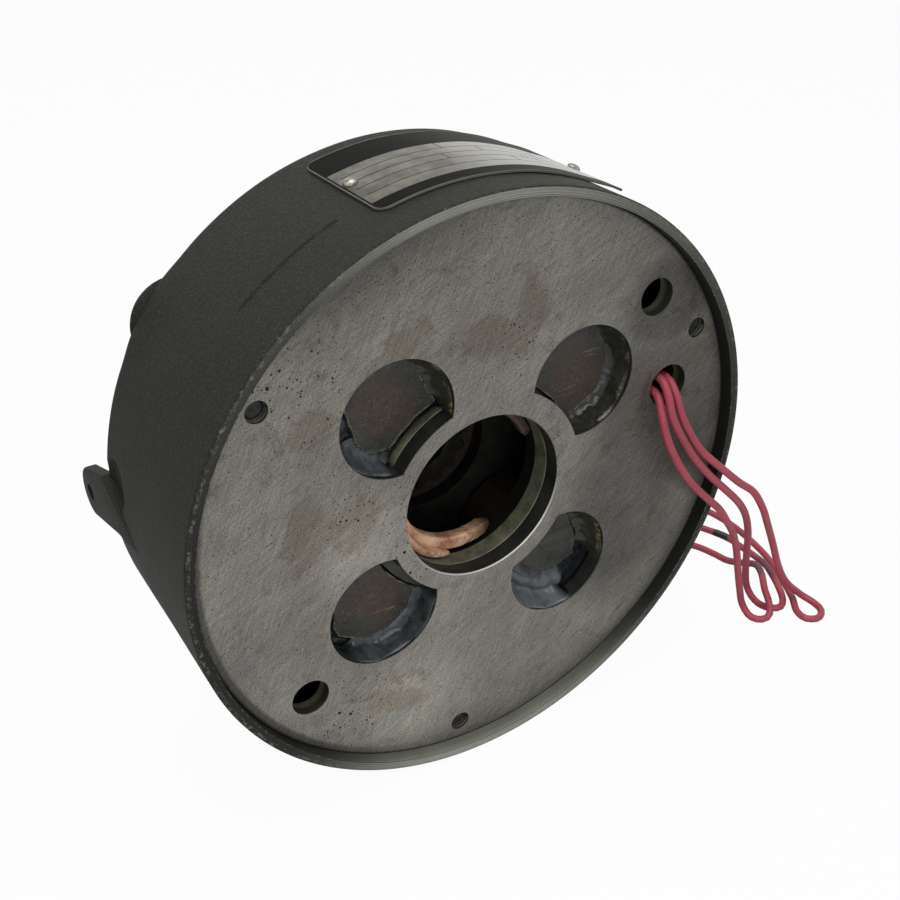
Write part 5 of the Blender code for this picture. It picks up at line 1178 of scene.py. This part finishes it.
for name, middle, span, ring_radius, half_wide, ring_y, half_deep, taper, stood_for in bundles:
    shape = bmesh.new()
    turned = math.radians(middle - span / 2)
    bmesh.ops.create_circle(shape, cap_ends=True, segments=24, radius=1.0)
    for vertex in shape.verts:
        across, deep = vertex.co.x, vertex.co.y
        vertex.co = Vector((ring_radius + half_wide * math.copysign(abs(across) ** 0.4, across),
                            ring_y + half_deep * math.copysign(abs(deep) ** 0.4, deep), 0.0))
    bmesh.ops.rotate(shape, verts=shape.verts, cent=(0, 0, 0), matrix=Matrix.Rotation(-turned, 3, "Y"))
    face = shape.faces[:]
    bmesh.ops.spin(shape, geom=face, cent=(0, 0, 0), axis=(0, 1, 0), angle=-math.radians(span),
                   steps=span * 2, use_merge=False)
    for vertex in shape.verts:
        turn = math.atan2(vertex.co.z, vertex.co.x) % (2 * math.pi)
        share = (turn - turned) / math.radians(span) % (2 * math.pi / math.radians(span))
        middle_place = around(ring_radius, turn, ring_y)
        off = vertex.co - middle_place
        round_turn = math.atan2(off.y, off.normalized().dot(middle_place.normalized()) * off.length)
        lap = (turn * ring_radius / 0.0062 + round_turn / (2 * math.pi)) % 1.0
        end = math.sin(math.pi * min(max(share, 0.0), 1.0))
        thin = 0.2 + 0.8 * min(end / taper, 1.0) ** 0.6
        vertex.co = middle_place + off * thin * (1.0 + 0.03 * lap)
        vertex.co += off * 0.02 * noise.noise(vertex.co * 160)
    fit_piece(add_loose(name, shape), wrap, replaces=stood_for, sharp=70)


# Nameplate
# A thin etched aluminium plate, bent over the top of the wall and held by two drive screws. It has a
# black head band, ruled blank fields, a black foot band and a black border. One corner has sprung up.
PLATE_LEFT = math.radians(107.0)
PLATE_RIGHT = math.radians(57.0)
PLATE_FRONT_Y = 0.0090
PLATE_WIDTH = 0.0510
PLATE_CORNER = 0.0046
PLATE_SHEET = 0.0007
LIFT_FROM = math.radians(66.0)
LIFT = 0.0012
DRIVE_SCREW_Y = 0.0340
DRIVE_SCREW_ANGLES = (math.radians(105.1), math.radians(58.9))

plate_length = (PLATE_LEFT - PLATE_RIGHT) * RIM_RADIUS


def wall_radius(y):
    """Radius of the housing's tapered wall at a depth."""
    return RIM_RADIUS + (BACK_RADIUS - RIM_RADIUS) * (y - RIM_FRONT_Y) / (BACK_Y - RIM_FRONT_Y)


def lifted(angle):
    """How far the nameplate stands off the wall at an angle."""
    return LIFT * smooth_step((LIFT_FROM - angle) / (LIFT_FROM - PLATE_RIGHT))


shape = bmesh.new()
bmesh.ops.create_grid(shape, x_segments=110, y_segments=56, size=0.5)
bmesh.ops.scale(shape, verts=shape.verts, vec=(plate_length, PLATE_WIDTH, 1.0))
for vertex in shape.verts:
    past_x = abs(vertex.co.x) - plate_length / 2 + PLATE_CORNER
    past_y = abs(vertex.co.y) - PLATE_WIDTH / 2 + PLATE_CORNER
    if past_x > 0 and past_y > 0:
        u, v = past_x / PLATE_CORNER, past_y / PLATE_CORNER
        vertex.co.x -= math.copysign(PLATE_CORNER * u * (1 - math.sqrt(1 - v * v / 2)), vertex.co.x)
        vertex.co.y -= math.copysign(PLATE_CORNER * v * (1 - math.sqrt(1 - u * u / 2)), vertex.co.y)
border = shape.verts.layers.float.new("border")
for vertex in shape.verts:
    vertex[border] = float(vertex.is_boundary)
layout = shape.loops.layers.uv.new("layout")
for face in shape.faces:
    for loop in face.loops:
        loop[layout].uv = (loop.vert.co.x / plate_length + 0.5, loop.vert.co.y / PLATE_WIDTH + 0.5)
grown = bmesh.ops.extrude_face_region(shape, geom=shape.faces[:])["geom"]
bmesh.ops.translate(shape, verts=[item for item in grown if isinstance(item, bmesh.types.BMVert)],
                    vec=(0, 0, PLATE_SHEET))
for vertex in shape.verts:
    angle = PLATE_LEFT - (vertex.co.x + plate_length / 2) / RIM_RADIUS
    y = PLATE_FRONT_Y + PLATE_WIDTH / 2 + vertex.co.y
    ripple = 0.00012 * noise.noise(Vector((vertex.co.x * 60, vertex.co.y * 45, 3.0)))
    vertex.co = around(wall_radius(y) + 0.0003 + lifted(angle) + ripple + vertex.co.z, angle, y)
nameplate = add_loose("etched_nameplate", shape)

# Etched aluminium: satin silver fields left bare between bands of matt black fill, ruled with black
# lines 0.4 mm wide, and dulled by small scratches and grime. A painted sheen lightens both the silver
# and the black towards the right end.
RULES = (0.25, 0.37, 0.48, 0.59)
DIVIDERS = ((0.62, 0.25, 0.37), (0.38, 0.37, 0.48), (0.70, 0.37, 0.48), (0.55, 0.48, 0.59),
            (0.78, 0.48, 0.59), (0.42, 0.59, 0.70))
etched = bpy.data.materials.new("etched_aluminium")
etched.use_nodes = True
tree = etched.node_tree
shader = tree.nodes["Principled BSDF"]
place = add_node(tree, "TexCoord").outputs["Object"]
field = add_node(tree, "UVMap", uv_map="layout")
field = add_node(tree, "SeparateXYZ", {0: field.outputs[0]}).outputs


def band(start, end, low, high):
    """1 inside a rectangle of the layout, 0 outside it."""
    parts = []
    for axis, first, last in (("X", start, end), ("Y", low, high)):
        parts.append(add_node(tree, "Math", {0: field[axis], 1: first}, operation="GREATER_THAN").outputs[0])
        parts.append(add_node(tree, "Math", {0: field[axis], 1: last}, operation="LESS_THAN").outputs[0])
    both = add_node(tree, "Math", {0: parts[0], 1: parts[1]}, operation="MULTIPLY")
    tall = add_node(tree, "Math", {0: parts[2], 1: parts[3]}, operation="MULTIPLY")
    return add_node(tree, "Math", {0: both.outputs[0], 1: tall.outputs[0]}, operation="MULTIPLY").outputs[0]


line_x = 0.0004 / plate_length
line_y = 0.0004 / PLATE_WIDTH
inside = band(2.5 * line_x, 1 - 2.5 * line_x, 2.5 * line_y, 1 - 2.5 * line_y)
black = add_node(tree, "Math", {0: 1.0, 1: inside}, operation="SUBTRACT").outputs[0]
marks = [(0.0, 1.0, 0.70, 1.0), (0.0, 1.0, 0.0, 0.13)]
marks += [(0.03, 0.97, rule - line_y / 2, rule + line_y / 2) for rule in RULES]
marks += [(at - line_x / 2, at + line_x / 2, low, high) for at, low, high in DIVIDERS]
for mark in marks:
    black = add_node(tree, "Math", {0: black, 1: band(*mark)}, operation="MAXIMUM").outputs[0]
grime = add_node(tree, "TexNoise", {"Vector": place, "Scale": 140.0, "Detail": 6.0, "Roughness": 0.65})
silver_and_sheen = add_node(tree, "ValToRGB", {"Fac": grime.outputs["Fac"]})
silver_and_sheen.color_ramp.elements[0].position = 0.36
silver_and_sheen.color_ramp.elements[0].color = linear("#545149")
silver_and_sheen.color_ramp.elements[1].position = 0.60
silver_and_sheen.color_ramp.elements[1].color = linear("#77746a")
# Painted sheen: the silver and the black are painted lighter towards the right end.
painted_sheen_right = add_node(tree, "MapRange", {"Value": field["X"], "From Min": 0.35, "From Max": 0.85})
sheened_silver = add_node(tree, "Mix", {0: painted_sheen_right.outputs[0], 6: silver_and_sheen.outputs["Color"], 7: linear("#dcdbd5")},
                    data_type="RGBA")
sheened_black = add_node(tree, "Mix", {0: painted_sheen_right.outputs[0], 6: linear("#0d0d0b"), 7: linear("#3d3d39")},
                 data_type="RGBA")
filled = add_node(tree, "Mix", {0: black, 6: sheened_silver.outputs[2], 7: sheened_black.outputs[2]}, data_type="RGBA")
border = add_node(tree, "Attribute", attribute_name="border")
cut_edge = add_node(tree, "Math", {0: border.outputs["Fac"], 1: 0.62}, operation="GREATER_THAN")
filled = add_node(tree, "Mix", {0: cut_edge.outputs[0], 6: filled.outputs[2], 7: linear("#77756e")},
                  data_type="RGBA")
tree.links.new(filled.outputs[2], shader.inputs["Base Color"])
bare = add_node(tree, "MapRange", {"Value": black, "To Min": 0.9, "To Max": 0.0})
tree.links.new(bare.outputs[0], shader.inputs["Metallic"])
shader.inputs["Specular IOR Level"].default_value = 0.03
rough = add_node(tree, "MapRange", {"Value": black, "To Min": 0.34, "To Max": 0.5})
tree.links.new(rough.outputs[0], shader.inputs["Roughness"])
sunk = add_node(tree, "Math", {0: black, 1: 1.5, 2: grime.outputs["Fac"]}, operation="MULTIPLY_ADD")
relief = add_node(tree, "Bump", {"Height": sunk.outputs[0], "Distance": 0.00005, "Strength": 0.6})
tree.links.new(relief.outputs[0], shader.inputs["Normal"])
fit_piece(nameplate, etched, replaces=["nameplate"])


# Drive screws
# Two dome-headed steel drive screws, hammered through the nameplate into the wall.
DRIVE_HEAD_RADIUS = 0.0024
DRIVE_HEAD_HEIGHT = 0.0015

# Bright plated steel, scuffed flat on the crown where the hammer met it.
bright = bpy.data.materials.new("bright_drive_screw_steel")
bright.use_nodes = True
tree = bright.node_tree
shader = tree.nodes["Principled BSDF"]
place = add_node(tree, "TexCoord").outputs["Object"]
scuff = add_node(tree, "TexNoise", {"Vector": place, "Scale": 900.0, "Detail": 4.0})
tone = add_node(tree, "ValToRGB", {"Fac": scuff.outputs["Fac"]})
tone.color_ramp.elements[0].position = 0.35
tone.color_ramp.elements[0].color = linear("#6b675f")
tone.color_ramp.elements[1].position = 0.65
tone.color_ramp.elements[1].color = linear("#a8a49a")
tree.links.new(tone.outputs["Color"], shader.inputs["Base Color"])
shader.inputs["Metallic"].default_value = 1.0
rough = add_node(tree, "MapRange", {"Value": scuff.outputs["Fac"], "From Min": 0.3, "From Max": 0.7,
                                    "To Min": 0.25, "To Max": 0.45})
tree.links.new(rough.outputs[0], shader.inputs["Roughness"])
relief = add_node(tree, "Bump", {"Height": scuff.outputs["Fac"], "Distance": 0.00005, "Strength": 0.4})
tree.links.new(relief.outputs[0], shader.inputs["Normal"])

for number, angle in enumerate(DRIVE_SCREW_ANGLES, 1):
    seat = wall_radius(DRIVE_SCREW_Y) + lifted(angle) + PLATE_SHEET + 0.0003
    dome = [(0.0, DRIVE_HEAD_HEIGHT), (0.0006, DRIVE_HEAD_HEIGHT - 0.00002)]
    for step in range(2, 9):
        turn = math.pi / 2 * step / 8
        dome.append((DRIVE_HEAD_RADIUS * math.sin(turn), DRIVE_HEAD_HEIGHT * math.cos(turn) + 0.0001))
    dome += [(DRIVE_HEAD_RADIUS - 0.0002, 0.0), (0.0010, 0.0), (0.0010, -0.0045), (0.0, -0.0045)]
    shape = turn_profile(dome, 32)
    outwards = around(1.0, angle, 0.0)
    shape.transform(Matrix.Translation(around(seat, angle, DRIVE_SCREW_Y))
                    @ outwards.to_track_quat("Y", "Z").to_matrix().to_4x4())
    fit_piece(add_loose(f"drive_dome_{number}", shape), bright,
              replaces=[f"drive_screw_{number}"])


# Cap screws
# Three long socket-head screws, black oxide finished, from the rear bosses through the cup to the
# plate. The sliding plates ride on their shanks.
CAP_SEAT_Y = 0.0680
CAP_HEAD_HEIGHT = 0.0052
CAP_HEAD_RADIUS = 0.0056
CAP_SHANK_RADIUS = 0.0033
CAP_TIP_Y = 0.0022
SOCKET_ACROSS = 0.0050

# Black oxide on steel: blue-black, satin, with a brown bloom and bare high spots.
oxide = bpy.data.materials.new("black_oxide_steel")
oxide.use_nodes = True
tree = oxide.node_tree
shader = tree.nodes["Principled BSDF"]
place = add_node(tree, "TexCoord").outputs["Object"]
bloom = add_node(tree, "TexNoise", {"Vector": place, "Scale": 400.0, "Detail": 5.0, "Roughness": 0.6})
tone = add_node(tree, "ValToRGB", {"Fac": bloom.outputs["Fac"]})
tone.color_ramp.elements[0].position = 0.35
tone.color_ramp.elements[0].color = linear("#1f2022")
tone.color_ramp.elements[1].position = 0.70
tone.color_ramp.elements[1].color = linear("#44423c")
tree.links.new(tone.outputs["Color"], shader.inputs["Base Color"])
shader.inputs["Metallic"].default_value = 0.6
shader.inputs["Roughness"].default_value = 0.5
relief = add_node(tree, "Bump", {"Height": bloom.outputs["Fac"], "Distance": 0.00008, "Strength": 0.4})
tree.links.new(relief.outputs[0], shader.inputs["Normal"])

for number, angle in enumerate(BOSS_ANGLES, 1):
    back = CAP_SEAT_Y + 0.0003 + CAP_HEAD_HEIGHT
    profile = [(0.0, back), (CAP_HEAD_RADIUS - 0.0006, back), (CAP_HEAD_RADIUS, back - 0.0006),
               (CAP_HEAD_RADIUS, CAP_SEAT_Y + 0.0003), (CAP_SHANK_RADIUS, CAP_SEAT_Y + 0.0003),
               (CAP_SHANK_RADIUS, CAP_TIP_Y + 0.0006), (CAP_SHANK_RADIUS - 0.0006, CAP_TIP_Y), (0.0, CAP_TIP_Y)]
    shape = turn_profile(profile, 48)
    shape.transform(Matrix.Translation(around(SCREW_CIRCLE, angle, 0.0)))
    screw = add_loose(f"socket_screw_{number}", shape)
    shape = bmesh.new()
    bmesh.ops.create_cone(shape, cap_ends=True, segments=6, radius1=SOCKET_ACROSS / math.sqrt(3),
                          radius2=SOCKET_ACROSS / math.sqrt(3), depth=0.0064,
                          matrix=Matrix.Translation(around(SCREW_CIRCLE, angle, back))
                          @ Matrix.Rotation(math.radians(90), 4, "X"))
    combine(screw, add_loose("socket", shape), "DIFFERENCE")
    fit_piece(screw, oxide, replaces=[f"cap_screw_{number}"])


# Inside the brake
# The magnet, its coils and springs, and the stack of steel plates and friction discs on the splined
# hub. They keep their CAD shapes and get the finishes that such parts have.
INSIDE = (
    ("black_varnished_iron", "#0b0b0a", "#151412", 0.0, 0.65, 0.2, 220, "varnished_iron", ["magnet_body"]),
    ("dark_potting_resin", "#181c1e", "#31373a", 0.0, 0.32, 0.4, 260, "potting_resin", ["potting"]),
    ("taped_coil", "#150e0b", "#2b1c13", 0.0, 0.55, 0.3, 300, "enamelled_copper",
     ["coil_1", "coil_2", "coil_3", "coil_4"]),
    ("machined_plate_steel", "#2b2927", "#403e3a", 0.85, 0.48, 0.5, 160, "machined_steel",
     ["armature_plate", "separator_plate", "reaction_plate"]),
    ("machined_hub_steel", "#262523", "#3f3d39", 0.85, 0.42, 0.5, 240, "machined_steel", ["splined_hub"]),
    ("moulded_friction_lining", "#191512", "#302822", 0.0, 0.88, 0.3, 700, "moulded_lining",
     ["friction_disc_1", "friction_disc_2"]),
    ("drawn_spring_steel", "#33322f", "#56544f", 0.8, 0.4, 0.5, 500, "spring_steel",
     [f"torque_spring_{number}" for number in range(1, 7)]),
    ("black_oxide_set_steel", "#1f2022", "#3f3d38", 0.6, 0.5, 0.5, 400, "blackened_steel",
     ["magnet_screw_1", "magnet_screw_2", "magnet_screw_3"]),
    ("black_rubber_bush", "#141413", "#232321", 0.0, 0.8, 0.3, 350, "black_rubber", ["lead_bush"]))
for name, dark, light, metallic, roughness, gloss, scale, slot, kept in INSIDE:
    finish = bpy.data.materials.new(name)
    finish.use_nodes = True
    tree = finish.node_tree
    shader = tree.nodes["Principled BSDF"]
    place = add_node(tree, "TexCoord").outputs["Object"]
    grain = add_node(tree, "TexNoise", {"Vector": place, "Scale": float(scale), "Detail": 5.0,
                                        "Roughness": 0.62})
    tone = add_node(tree, "ValToRGB", {"Fac": grain.outputs["Fac"]})
    tone.color_ramp.elements[0].position = 0.34
    tone.color_ramp.elements[0].color = linear(dark)
    tone.color_ramp.elements[1].position = 0.68
    tone.color_ramp.elements[1].color = linear(light)
    tree.links.new(tone.outputs["Color"], shader.inputs["Base Color"])
    shader.inputs["Metallic"].default_value = metallic
    shader.inputs["Roughness"].default_value = roughness
    shader.inputs["Specular IOR Level"].default_value = gloss
    relief = add_node(tree, "Bump", {"Height": grain.outputs["Fac"], "Distance": 0.0001, "Strength": 0.5})
    tree.links.new(relief.outputs[0], shader.inputs["Normal"])
    for node in kept:
        bpy.data.objects[node].material_slots[0].material = finish
